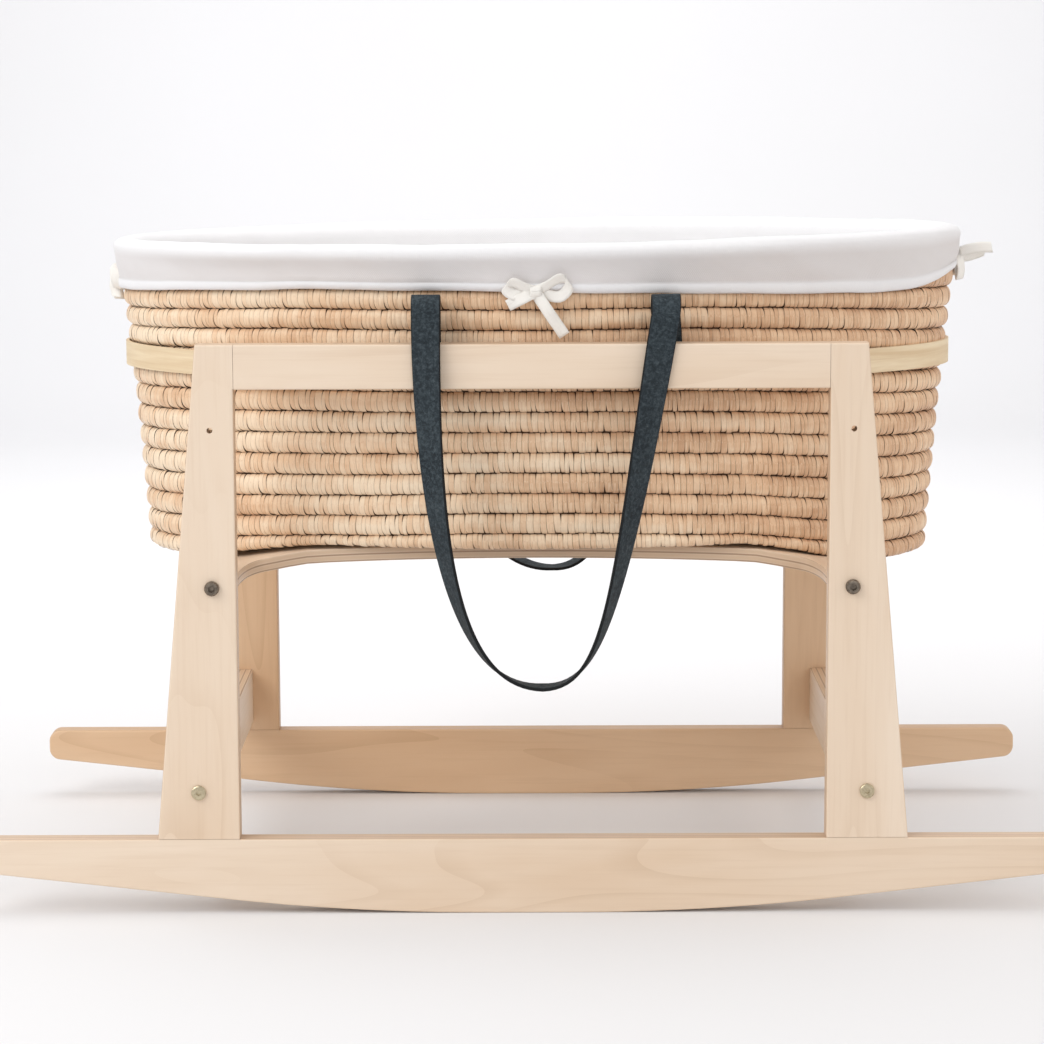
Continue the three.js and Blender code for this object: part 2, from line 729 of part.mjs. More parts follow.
const bowZ = hemZ + tapeWidth / 3;
const bowOut = fit + linerCloth + fit + bowThickness / 2;
const hemLevel = levelAt(hemZ + linerRimPad);
const bowSpots = [
  ['front', basketX + bowX, -hemLevel.halfWidth - bowOut, 0],
  ['rear', basketX + bowX, hemLevel.halfWidth + bowOut, Math.PI],
  ['foot', basketX - hemLevel.halfLength - bowOut, 0, -Math.PI / 2],
  ['head', basketX + hemLevel.halfLength + bowOut, 0, Math.PI / 2],
];
for (const [place, x, y, turn] of bowSpots) {
  const climb = headRise / 2 * (x - basketX) / hemLevel.halfLength;
  add(`${place}_bow`, makeBow().rotateZ(turn).translate(x, y, bowZ + climb), tape);
}

export default root;
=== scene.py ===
import math

import bmesh
import bpy
import numpy as np
from mathutils import Matrix, Vector, noise


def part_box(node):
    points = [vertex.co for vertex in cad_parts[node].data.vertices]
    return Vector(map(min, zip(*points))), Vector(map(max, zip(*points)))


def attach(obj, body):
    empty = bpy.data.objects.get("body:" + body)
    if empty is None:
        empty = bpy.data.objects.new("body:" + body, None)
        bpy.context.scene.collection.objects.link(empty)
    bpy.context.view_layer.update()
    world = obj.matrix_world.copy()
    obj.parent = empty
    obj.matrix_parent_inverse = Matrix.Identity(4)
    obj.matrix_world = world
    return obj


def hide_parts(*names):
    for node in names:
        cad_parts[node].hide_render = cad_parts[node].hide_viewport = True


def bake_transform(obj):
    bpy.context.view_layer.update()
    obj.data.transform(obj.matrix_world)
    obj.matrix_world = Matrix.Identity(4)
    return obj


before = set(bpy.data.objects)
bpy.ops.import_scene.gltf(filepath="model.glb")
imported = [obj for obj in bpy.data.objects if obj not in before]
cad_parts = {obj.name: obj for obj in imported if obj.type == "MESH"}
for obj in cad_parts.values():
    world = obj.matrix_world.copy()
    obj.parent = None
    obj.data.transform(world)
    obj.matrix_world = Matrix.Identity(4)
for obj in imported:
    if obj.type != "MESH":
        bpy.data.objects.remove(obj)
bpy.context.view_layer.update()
print("frame loaded")


def deselectAll():
    if bpy.context.object and bpy.context.object.mode != "OBJECT":
        bpy.ops.object.mode_set(mode="OBJECT")
    bpy.ops.object.select_all(action="DESELECT")


def pickOnly(piece):
    deselectAll()
    piece.select_set(True)
    bpy.context.view_layer.objects.active = piece


def meshPiece(name, points, faces):
    mesh = bpy.data.meshes.new(name)
    mesh.from_pydata([tuple(p) for p in points], [], [tuple(f) for f in faces])
    mesh.validate()
    mesh.shade_smooth()
    piece = bpy.data.objects.new(name, mesh)
    bpy.context.scene.collection.objects.link(piece)
    return piece


# Four-sided faces between rows of points; a closed row joins its last point to its first
def gridFaces(rows, columns, closed=True):
    faces = []
    for low in range(0, (rows - 1) * columns, columns):
        high = low + columns
        for column in range(columns if closed else columns - 1):
            after = (column + 1) % columns
            faces.append((low + column, low + after, high + after, high + column))
    return faces


def pointValues(piece, name, values):
    layer = piece.data.attributes.new(name, "FLOAT", "POINT")
    layer.data.foreach_set("value", np.asarray(values, np.float32))


def uvFromPoints(piece, name, uv):
    layer = piece.data.uv_layers.new(name=name)
    corner = np.empty(len(piece.data.loops), np.int32)
    piece.data.loops.foreach_get("vertex_index", corner)
    layer.data.foreach_set("uv", np.asarray(uv, np.float32)[corner].ravel())


def applyModifier(piece, kind, **values):
    pickOnly(piece)
    modifier = piece.modifiers.new(kind.title(), kind)
    for key, value in values.items():
        setattr(modifier, key, value)
    bpy.ops.object.modifier_apply(modifier=modifier.name)


def faceOutwards(piece, mergeWithin=None):
    pickOnly(piece)
    bpy.ops.object.mode_set(mode="EDIT")
    bpy.ops.mesh.select_all(action="SELECT")
    if mergeWithin:
        bpy.ops.mesh.remove_doubles(threshold=mergeWithin)
    bpy.ops.mesh.normals_make_consistent(inside=False)
    bpy.ops.object.mode_set(mode="OBJECT")


def softNoise(x, y, z):
    return noise.noise(Vector((x, y, z)))


cameraPlace = {
    "spot": (-0.0088, -2.9815, 0.7436),
    "tilt": 81.777,          # degrees up from straight down
    "roll": -0.186,          # degrees about its own axis
    "lens": 110.38,
    "sensor": 36.0,
    "farthest": 50,          # metres it can see
}

cameraData = bpy.data.cameras.new("camera")
cameraData.lens = cameraPlace["lens"]
cameraData.sensor_width = cameraPlace["sensor"]
cameraData.clip_end = cameraPlace["farthest"]
camera = bpy.data.objects.new("camera", cameraData)
turn = Matrix.Rotation(math.radians(cameraPlace["tilt"]), 4, "X")
turn = turn @ Matrix.Rotation(math.radians(cameraPlace["roll"]), 4, "Z")
camera.matrix_world = Matrix.Translation(cameraPlace["spot"]) @ turn
bpy.context.scene.collection.objects.link(camera)
bpy.context.scene.camera = camera
print("camera set")


# A material and the few nodes that all the finishes are put together from
class Finish:
    def __init__(self, name):
        self.material = bpy.data.materials.new(name)
        self.material.use_nodes = True
        self.nodes = self.material.node_tree.nodes
        self.links = self.material.node_tree.links
        self.shader = self.nodes["Principled BSDF"]

    def add(self, kind, **values):
        node = self.nodes.new("ShaderNode" + kind)
        for key, value in values.items():
            setattr(node, key, value)
        return node

    def join(self, source, target):
        self.links.new(source, target)

    def place(self, scale=(1, 1, 1), shift=(0, 0, 0)):
        coordinate = self.add("TexCoord")
        mapping = self.add("Mapping")
        mapping.inputs["Scale"].default_value = scale
        mapping.inputs["Location"].default_value = shift
        self.join(coordinate.outputs["Object"], mapping.inputs["Vector"])
        return mapping.outputs["Vector"]

    def placeUv(self, layer, scale=(1, 1, 1)):
        coordinate = self.add("UVMap", uv_map=layer)
        mapping = self.add("Mapping")
        mapping.inputs["Scale"].default_value = scale
        self.join(coordinate.outputs["UV"], mapping.inputs["Vector"])
        return mapping.outputs["Vector"]

    def axes(self, vector):
        node = self.add("SeparateXYZ")
        self.join(vector, node.inputs[0])
        return node.outputs

    def value(self, name):
        return self.add("Attribute", attribute_name=name).outputs["Fac"]

    def noise(self, vector, scale, detail=3.0, rough=0.5, distortion=0.0):
        node = self.add("TexNoise")
        self.join(vector, node.inputs["Vector"])
        node.inputs["Scale"].default_value = scale
        node.inputs["Detail"].default_value = detail
        node.inputs["Roughness"].default_value = rough
        node.inputs["Distortion"].default_value = distortion
        return node.outputs["Fac"]

    def sums(self, operation, first, second=0.5, third=0.5):
        node = self.add("Math", operation=operation)
        for index, item in enumerate((first, second, third)):
            if isinstance(item, (int, float)):
                node.inputs[index].default_value = item
            else:
                self.join(item, node.inputs[index])
        return node.outputs[0]

    def times(self, first, second):
        return self.sums("MULTIPLY", first, second)

    # first times share, and then more on top
    def mixed(self, first, share, more):
        return self.sums("MULTIPLY_ADD", first, share, more)

    def fit(self, value, low, high, toLow=0.0, toHigh=1.0):
        node = self.add("MapRange")
        self.join(value, node.inputs["Value"])
        limits = {"From Min": low, "From Max": high, "To Min": toLow, "To Max": toHigh}
        for key, number in limits.items():
            node.inputs[key].default_value = number
        return node.outputs["Result"]

    def ramp(self, value, stops):
        node = self.add("ValToRGB")
        self.join(value, node.inputs["Fac"])
        elements = node.color_ramp.elements
        while len(elements) < len(stops):
            elements.new(0.5)
        for element, (position, colour) in zip(elements, stops):
            element.position = position
            element.color = (*colour, 1)
        return node.outputs["Color"]

    def blend(self, first, second, share):
        node = self.add("Mix", data_type="RGBA", blend_type="MIX")
        for socket, item in (("A", first), ("B", second)):
            target = [i for i in node.inputs if i.name == socket and i.type == "RGBA"][0]
            if isinstance(item, tuple):
                target.default_value = (*item, 1)
            else:
                self.join(item, target)
        self.join(share, node.inputs[0])
        return [o for o in node.outputs if o.type == "RGBA"][0]

    # Lays a second colour over the first as a value goes from low to high
    def tint(self, colour, second, value, low, high, most=1.0):
        return self.blend(colour, second, self.fit(value, low, high, 0.0, most))

    def bump(self, height, strength, distance):
        node = self.add("Bump")
        node.inputs["Strength"].default_value = strength
        node.inputs["Distance"].default_value = distance
        self.join(height, node.inputs["Height"])
        return node.outputs["Normal"]

    def finish(self, colour, rough, normal=None, **sockets):
        self.join(colour, self.shader.inputs["Base Color"])
        if isinstance(rough, (int, float)):
            self.shader.inputs["Roughness"].default_value = rough
        else:
            self.join(rough, self.shader.inputs["Roughness"])
        if normal:
            self.join(normal, self.shader.inputs["Normal"])
        for key, value in sockets.items():
            self.shader.inputs[key.replace("_", " ")].default_value = value
        return self.material


birchLook = {
    "pale": (0.85, 0.705, 0.56),
    "deep": (0.745, 0.56, 0.395),
    "line": (0.62, 0.44, 0.29),
    "glue": (0.30, 0.17, 0.095),
    "layer": 0.0029,         # metres for one ply
    "rings": 17.0,           # how many growth lines the figure has
    "ringShare": 0.46,
    "fibres": 260.0,         # how fine the fibres are across their run
    "fibreShare": 0.20,
}
# The far frame's birch is deeper and warmer: partly painted shade and warm bounce light behind the
# basket, partly variation between boards
rearShadedLook = dict(
    birchLook, pale=(0.81, 0.59, 0.395), deep=(0.70, 0.465, 0.28), line=(0.56, 0.35, 0.19)
)


# Lacquered birch: long soft bands, ring figure and fine fibres that run along one axis,
# and ply lines where a face is cut across the layers
def birch(name, along, layers, shift, look=birchLook):
    finish = Finish(name)
    axis = "XYZ".index(along)
    stretch, fine = [7.0] * 3, [look["fibres"]] * 3
    stretch[axis], fine[axis] = 1.0, 9.0
    place = finish.place(stretch, shift)
    bands = finish.noise(place, 1.6, 4, 0.55, 0.5)
    rings = finish.noise(place, 0.9, 2, 0.45, 0.25)
    contour = finish.sums("FRACT", finish.times(rings, look["rings"]))
    contour = finish.fit(contour, 0.0, 0.3, 1.0, 0.0)
    contour = finish.times(contour, finish.fit(bands, 0.4, 0.7))
    fibres = finish.noise(finish.place(fine), 1.0, 3, 0.65)
    colour = finish.tint(look["pale"], look["deep"], bands, 0.35, 0.75)
    colour = finish.blend(colour, look["line"], finish.times(contour, look["ringShare"]))
    colour = finish.tint(colour, look["line"], fibres, 0.5, 0.78, look["fibreShare"])
    colour = plyLines(finish, colour, layers, look)
    normal = finish.bump(finish.mixed(contour, 0.3, fibres), 0.10, 0.0006)
    rough = finish.fit(fibres, 0.3, 0.7, 0.42, 0.58)
    return finish.finish(colour, rough, normal, Coat_Weight=0.12, Coat_Roughness=0.35)


# layers is an axis of the object, or the name of a point value in metres
def plyLines(finish, colour, layers, look):
    facing = finish.axes(finish.add("NewGeometry").outputs["Normal"])
    if layers in "XYZ":
        depth = finish.axes(finish.add("TexCoord").outputs["Object"])[layers]
        side = facing[layers]
    else:
        depth = finish.value(layers)
        side = facing["Z"]
    across = finish.sums("SUBTRACT", 1.0, finish.sums("ABSOLUTE", side))
    across = finish.fit(across, 0.35, 0.6)
    wander = finish.noise(finish.place((6, 6, 6)), 3.0, 2)
    depth = finish.mixed(wander, 0.0006, depth)
    beat = finish.sums("FRACT", finish.sums("DIVIDE", depth, look["layer"] * 2))
    stripe = finish.sums("PINGPONG", beat, 0.5)
    line = finish.fit(stripe, 0.04, 0.20, 1.0, 0.0)
    dark = finish.mixed(finish.fit(stripe, 0.23, 0.27), 0.35, 0.45)
    colour = finish.blend(colour, look["line"], finish.times(across, dark))
    return finish.blend(colour, look["glue"], finish.times(across, finish.times(line, 0.80)))


def plainWood(name, pale, deep, along="X"):
    finish = Finish(name)
    stretch = [3.0 if axis in along else 70.0 for axis in "XYZ"]
    grain = finish.noise(finish.place(stretch), 1.4, 4, 0.6, 0.4)
    fine = finish.noise(finish.place([s * 5 for s in stretch]), 1.5, 2, 0.6)
    colour = finish.tint(pale, deep, grain, 0.38, 0.66)
    colour = finish.tint(colour, deep, fine, 0.55, 0.8, 0.5)
    return finish.finish(colour, 0.55, finish.bump(fine, 0.15, 0.0004))


def metal(name, bright, dull, rough):
    finish = Finish(name)
    spots = finish.noise(finish.place(), 420.0, 4, 0.6)
    turned = finish.noise(finish.place((1, 60, 1)), 60.0, 2)
    colour = finish.tint(bright, dull, spots, 0.4, 0.75)
    roughness = finish.fit(spots, 0.3, 0.8, rough, rough + 0.22)
    return finish.finish(colour, roughness, finish.bump(turned, 0.08, 0.0003), Metallic=1.0)


palmLook = {
    "cream": (0.93, 0.755, 0.555),
    "tan": (0.81, 0.55, 0.345),
    "red": (0.60, 0.345, 0.19),
    # seam is painted shade for the gaps between strips, and shadow is painted shade for the groove
    # between coils
    "seam": (0.20, 0.095, 0.045),
    "shadow": (0.070, 0.030, 0.014),
    "stripTone": 0.34,       # how far single strips differ
    "headToneAndShade": 0.55,        # how much deeper the leaf looks per metre towards the head end, partly its own tone, partly painted shade
    # The core's two colours are painted shade, for the dark seen in the gaps between strips
    "coreDark": (0.035, 0.017, 0.009),
    "corePale": (0.12, 0.062, 0.032),
}


# Dry palm leaf wrapped in strips: each strip has its own tone, fibres run round the coil,
# and painted shade darkens the strips along their edges and where two coils meet
def palmLeaf():
    cream, tan, red = (palmLook[k] for k in ("cream", "tan", "red"))
    finish = Finish("palm_leaf_strips")
    tone, edge, crease = (finish.value(k) for k in ("tone", "edge", "crease"))
    patches = finish.noise(finish.place((5, 5, 34)), 1.0, 3, 0.6)
    streaks = finish.noise(finish.placeUv("strip", (1500, 30, 1)), 1.0, 3, 0.6)
    specks = finish.noise(finish.place(), 300.0, 3, 0.7)
    mood = finish.mixed(patches, 2.0, finish.times(tone, palmLook["stripTone"]))
    # Partly painted shade: the leaf darkens towards the head end, away from the window light, and
    # partly its own deeper tone
    length = finish.axes(finish.add("TexCoord").outputs["Object"])["X"]
    mood = finish.fit(finish.mixed(length, palmLook["headToneAndShade"], mood), 0.78, 1.72)
    colour = finish.ramp(mood, [(0.0, cream), (0.5, tan), (1.0, red)])
    colour = finish.tint(colour, cream, streaks, 0.50, 0.68, 0.60)
    colour = finish.tint(colour, red, streaks, 0.46, 0.30, 0.55)
    colour = finish.tint(colour, red, specks, 0.66, 0.74, 0.35)
    # Painted shade in the gaps between strips, stronger on some strips than on others
    rim = finish.times(finish.fit(edge, 0.80, 1.0), finish.fit(tone, 0.10, 0.75, 0.40, 1.0))
    colour = finish.blend(colour, palmLook["seam"], rim)
    # Painted shade in the groove where two coils meet
    grooveShade = finish.mixed(edge, 0.05, finish.mixed(specks, 0.10, crease))
    colour = finish.tint(colour, palmLook["shadow"], grooveShade, 0.98, 1.10, 0.9)
    normal = finish.bump(finish.mixed(specks, 0.3, streaks), 0.5, 0.0005)
    return finish.finish(colour, finish.fit(streaks, 0.3, 0.7, 0.42, 0.62), normal, Sheen_Weight=0.08)


# Painted shade: the fibre core in near-black, as it looks in the gaps between strips
def palmCore():
    finish = Finish("palm_core")
    fibres = finish.noise(finish.place((40, 40, 260)), 1.5, 3, 0.6)
    colour = finish.ramp(fibres, [(0.35, palmLook["coreDark"]), (0.7, palmLook["corePale"])])
    return finish.finish(colour, 0.9, finish.bump(fibres, 0.6, 0.001))


cottonLook = {
    "pale": (0.865, 0.86, 0.87),
    "deep": (0.77, 0.755, 0.765),
    "showThroughShade": (0.735, 0.70, 0.69),    # where a single layer lets the palm leaf through, and painted shade on the skirt that faces down
    "thread": 0.0009,
    "relief": 0.0003,
}
tapeLook = dict(cottonLook, pale=(0.92, 0.895, 0.85), deep=(0.79, 0.745, 0.67), thread=0.0008)


# Woven cotton: two crossed thread waves on the piece's own map, in metres
def weave(name, look):
    finish = Finish(name)
    vector = finish.placeUv("cloth")
    wander = finish.noise(vector, 90.0, 2)
    parts = finish.axes(vector)
    waves = []
    for axis in ("X", "Y"):
        along = finish.mixed(wander, 0.0011, parts[axis])
        waves.append(finish.sums("SINE", finish.times(along, 1.0 / look["thread"] * math.pi)))
    cross = finish.times(*waves)
    slub = finish.noise(finish.placeUv("cloth", (60, 900, 1)), 1.0, 2)
    cloud = finish.noise(vector, 14.0, 3, 0.6)
    colour = finish.tint(look["pale"], look["deep"], cross, 0.2, -1.0, 0.5)
    colour = finish.tint(colour, look["deep"], slub, 0.58, 0.75, 0.35)
    colour = finish.tint(colour, look["deep"], cloud, 0.5, 0.75, 0.3)
    # Painted shade on the downward-facing skirt, mixed with the palm leaf showing through the single
    # layer
    oneLayerShade = finish.mixed(finish.fit(cloud, 0.3, 0.7), 0.25, 0.72)
    colour = finish.blend(colour, look["showThroughShade"], finish.times(finish.value("oneLayerShade"), oneLayerShade))
    normal = finish.bump(finish.mixed(slub, 0.7, cross), 0.35, look["relief"])
    return finish.finish(colour, 0.92, normal, Sheen_Weight=0.25, Sheen_Roughness=0.5)


leatherLook = {
    "dark": (0.010, 0.017, 0.023),
    "slate": (0.020, 0.030, 0.037),
    "light": (0.036, 0.050, 0.058),
    "fleck": (0.085, 0.110, 0.125),
    "pit": (0.006, 0.010, 0.013),
    "scuff": (0.14, 0.165, 0.18),
    "edge": (0.005, 0.006, 0.007),
}


def leather():
    finish = Finish("slate_leather")
    edge = finish.value("edge")
    clouds = finish.noise(finish.place(), 34.0, 5, 0.65, 0.6)
    mottle = finish.noise(finish.place(), 330.0, 4, 0.75, 0.4)
    pores = finish.noise(finish.place(), 900.0, 3, 0.6)
    scuffs = finish.noise(finish.place((0.5, 1, 1)), 150.0, 2, 0.8, 3.0)
    stops = [(0.3, leatherLook["dark"]), (0.55, leatherLook["slate"]), (0.75, leatherLook["light"])]
    colour = finish.ramp(clouds, stops)
    colour = finish.tint(colour, leatherLook["fleck"], mottle, 0.48, 0.68, 0.55)
    colour = finish.tint(colour, leatherLook["pit"], mottle, 0.48, 0.34, 0.65)
    colour = finish.tint(colour, leatherLook["scuff"], scuffs, 0.66, 0.80, 0.5)
    colour = finish.tint(colour, leatherLook["edge"], edge, 0.80, 0.93)
    normal = finish.bump(finish.mixed(mottle, 0.8, pores), 0.4, 0.0004)
    return finish.finish(colour, 0.72, normal, Specular_IOR_Level=0.28)


tickingLook = {
    "pale": (0.84, 0.825, 0.79),
    "deep": (0.72, 0.70, 0.66),
    "cloud": (0.76, 0.74, 0.70),
    "threads": 4200.0,
}


# The mattress cover: a plain off-white weave with soft, uneven patches
def ticking():
    finish = Finish("mattress_ticking")
    parts = finish.axes(finish.place())
    waves = [finish.sums("SINE", finish.times(parts[axis], tickingLook["threads"])) for axis in "XYZ"]
    cross = finish.sums("ADD", finish.sums("ADD", waves[0], waves[1]), waves[2])
    cloud = finish.noise(finish.place(), 11.0, 3, 0.6)
    colour = finish.tint(tickingLook["pale"], tickingLook["deep"], cross, 0.6, -2.0, 0.4)
    colour = finish.tint(colour, tickingLook["cloud"], cloud, 0.5, 0.75, 0.4)
    return finish.finish(colour, 0.93, finish.bump(cross, 0.3, 0.0002), Sheen_Weight=0.2)


finishes = {
    "front_leg": birch("birch_upright", "Z", "Y", (0.3, 0.1, 0.2)),
    "front_rail": birch("birch_rail", "X", "Y", (0.7, 0.4, 0.1)),
    "front_rocker": birch("birch_rocker", "X", "Y", (0.15, 0.9, 0.35)),
    # The rear frame wears a shaded copy of the birch, with painted shade and warm bounce light
    "rear_leg": birch("rear_birch_upright", "Z", "Y", (1.3, 0.1, 0.2), rearShadedLook),
    "rear_rail": birch("rear_birch_rail", "X", "Y", (1.7, 0.4, 0.1), rearShadedLook),
    "rear_rocker": birch("rear_birch_rocker", "X", "Y", (1.15, 0.9, 0.35), rearShadedLook),
    "brace": birch("birch_brace", "Y", "X", (0.5, 0.2, 0.8)),
    "seat": birch("birch_seat", "X", "layer", (0.1, 0.6, 0.4)),
    "ash": plainWood("ash_strip", (0.83, 0.69, 0.48), (0.69, 0.52, 0.32), "XY"),
    "beech": plainWood("beech_dowel", (0.72, 0.55, 0.38), (0.56, 0.40, 0.25)),
    "bronze": metal("dark_bronze", (0.24, 0.20, 0.16), (0.10, 0.08, 0.065), 0.26),
    "brass": metal("brushed_brass", (0.60, 0.52, 0.36), (0.42, 0.35, 0.23), 0.28),
    "zinc": metal("zinc_plate", (0.55, 0.55, 0.53), (0.38, 0.38, 0.37), 0.40),
    "palm": palmLeaf(),
    "core": palmCore(),
    "cotton": weave("white_cotton", cottonLook),
    "ticking": ticking(),
    "tape": weave("cream_tape", tapeLook),
    "leather": leather(),
}

# What the stand's small parts wear, by the first of these words in their name;
# the others wear the finish called after their first two words
wornBy = {
    "dowel": "beech", "upper_bolt": "bronze", "lower_bolt": "brass",
    "insert": "zinc", "screw": "zinc", "brace": "brace", "hoop_": "ash",
}
for name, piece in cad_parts.items():
    words = [word for word in wornBy if word in name]
    finishName = wornBy[words[0]] if words else "_".join(name.split("_")[:2])
    if finishName in finishes:
        piece.data.materials.clear()
        piece.data.materials.append(finishes[finishName])
print("materials made")


basketForm = {
    "middle": 0.006,         # along X
    "bottom": 0.316,
    "height": 0.262,
    "halfLength": 0.3776,    # at the level of the hoops
    "halfWidth": 0.2105,
    "hoopLevel": 0.476,
    "power": 1.88,           # 2 is an ellipse
    "flare": 0.025,
    "wall": 0.015,
    "sags": (0.020, 0.025),  # how far the underside droops at the foot and the head end
    "sagRuns": ((0.180, 0.360), (0.175, 0.330)),
    "rowSags": (0.007, 0.015),   # how far the coils droop at the level of the hoops
    "rowRuns": ((0.205, 0.365, 1.3), (0.106, 0.366, 1.6)),
    "rowSlack": 0.005,       # how far the low rows hang between the middle and each end
    "headRise": 0.010,
    "rimTop": 0.5853,
    "hem": 0.5448,
}


def grownBy(level):
    return basketForm["flare"] * (0.76 * level + 0.24 * level ** 2)


def halfSizes(z):
    hoopShare = (basketForm["hoopLevel"] - basketForm["bottom"]) / basketForm["height"]
    share = (z - basketForm["bottom"]) / basketForm["height"]
    spread = grownBy(share) - grownBy(hoopShare)
    return basketForm["halfLength"] + spread, basketForm["halfWidth"] + spread


def ovalPoint(halfLength, halfWidth, angle):
    bend = 2 / basketForm["power"]
    cosine, sine = np.cos(angle), np.sin(angle)
    x = halfLength * np.sign(cosine) * np.abs(cosine) ** bend
    y = halfWidth * np.sign(sine) * np.abs(sine) ** bend
    return x, y


def easedBy(value, low, high):
    share = np.clip((value - low) / (high - low), 0, 1)
    return share * share * (3 - 2 * share)


# How high a point is: from 0 at the underside to 1 at the hoops
def levelShare(z):
    low, high = basketForm["bottom"], basketForm["hoopLevel"]
    return np.clip((z - low) / (high - low), 0, 1)


# How far the underside droops at a place along the basket
def droopAt(reach):
    ends = zip(basketForm["sags"], basketForm["sagRuns"])
    foot, head = (sag * easedBy(np.abs(reach), *run) for sag, run in ends)
    return np.where(reach < 0, foot, head)


# How far a point is lifted: the rim climbs to the head end and the ends droop at the bottom
def settledBy(reach, z, droops=True):
    low, high = basketForm["hoopLevel"], basketForm["rimTop"]
    lift = np.clip((z - low) / (high - low), 0, 1)
    climb = basketForm["headRise"] / 2 * lift * reach / basketForm["halfLength"]
    return climb - droopAt(reach) * (1 - levelShare(z)) if droops else climb


# The rows of coils droop towards the ends even where the wall's outline doesn't
def rowDroop(reach, z):
    share = levelShare(z)
    ends = []
    for sag, (start, end, bend) in zip(basketForm["rowSags"], basketForm["rowRuns"]):
        ends.append(sag * np.clip((np.abs(reach) - start) / (end - start), 0, 1.05) ** bend)
    upper = np.where(reach < 0, *ends)
    top = basketForm["bottom"] + basketForm["height"]
    slack = basketForm["rowSlack"] * easedBy(np.abs(reach), 0.03, 0.20)
    slack = slack * (1 - easedBy(np.abs(reach), 0.20, 0.31))
    slack = slack * np.clip((1 - share) * 1.6, 0, 1) * np.clip(share * 12, 0, 1)
    return upper * share * np.clip((top - z) / 0.012, 0, 1) + slack


# A closed line round the basket at one level: places by run length, with outward directions
class OvalLine:
    def __init__(self, z, inset, steps=1600):
        halfLength, halfWidth = halfSizes(z)
        angle = np.linspace(0, 2 * math.pi, steps + 1)
        x, y = ovalPoint(halfLength - inset, halfWidth - inset, angle)
        run = np.concatenate([[0], np.cumsum(np.hypot(np.diff(x), np.diff(y)))])
        self.length = run[-1]
        self.run = np.linspace(0, self.length, steps + 1)
        self.x, self.y = np.interp(self.run, run, x), np.interp(self.run, run, y)
        slopeX, slopeY = (
            np.gradient(np.concatenate([line[-2:-1], line, line[1:2]]))[1:-1]
            for line in (self.x, self.y)
        )
        size = np.hypot(slopeX, slopeY)
        self.outX, self.outY = slopeY / size, -slopeX / size
        self.reach = self.x * basketForm["halfLength"] / halfLength

    def at(self, run):
        run = np.mod(run, self.length)
        lines = (self.x, self.y, self.outX, self.outY, self.reach)
        return [np.interp(run, self.run, line) for line in lines]


coilForm = {
    "firstSeam": 0.3303,     # height of the line between the two lowest coils
    "pitch": 0.01809,
    "count": 15,
    "stripWidth": 0.0049,
    "depth": 0.0152,         # through the wall
    "roundness": 2.25,       # 2 is an ellipse
    "unevenWidth": 0.36,
    "unevenDepth": 0.040,
    "drift": 0.0005,         # how far a strip sits above or below its row
    "lean": 0.0008,          # how far a strip's upper end runs on or back
    "slant": 0.0016,         # how far the lower end of every strip runs on
    "pinch": 0.16,           # how much a strip narrows where coils meet
    "overlap": 1.06,         # of a strip over its neighbour
    "edgeSize": 0.947,       # of a strip at its edges, against its middle
    "seed": 11,
}


# One strip of leaf round the core: an open ring of a few dozen faces, full in its middle
def modelStrip():
    deselectAll()
    bpy.ops.mesh.primitive_cylinder_add(
        vertices=14, radius=1, depth=1, end_fill_type="NOTHING", rotation=(0, math.pi / 2, 0)
    )
    strip = bpy.context.active_object
    bpy.ops.object.transform_apply(rotation=True)
    bpy.ops.object.mode_set(mode="EDIT")
    bpy.ops.mesh.select_mode(type="EDGE")
    form = bmesh.from_edit_mesh(strip.data)
    for edge in form.edges:
        edge.select_set(abs(edge.verts[0].co.x - edge.verts[1].co.x) > 0.5)
    bmesh.update_edit_mesh(strip.data)
    bpy.ops.mesh.subdivide(number_cuts=2)
    bpy.ops.mesh.select_mode(type="VERT")
    form = bmesh.from_edit_mesh(strip.data)
    for point in form.verts:
        point.select_set(abs(point.co.x) > 0.45)
    bmesh.update_edit_mesh(strip.data)
    bpy.ops.transform.resize(value=(1, coilForm["edgeSize"], coilForm["edgeSize"]))
    bpy.ops.object.mode_set(mode="OBJECT")
    return strip


strip = modelStrip()
stripPoints = np.array([point.co for point in strip.data.vertices])
stripFaces = np.array([list(face.vertices) for face in strip.data.polygons])
bpy.data.objects.remove(strip, do_unlink=True)


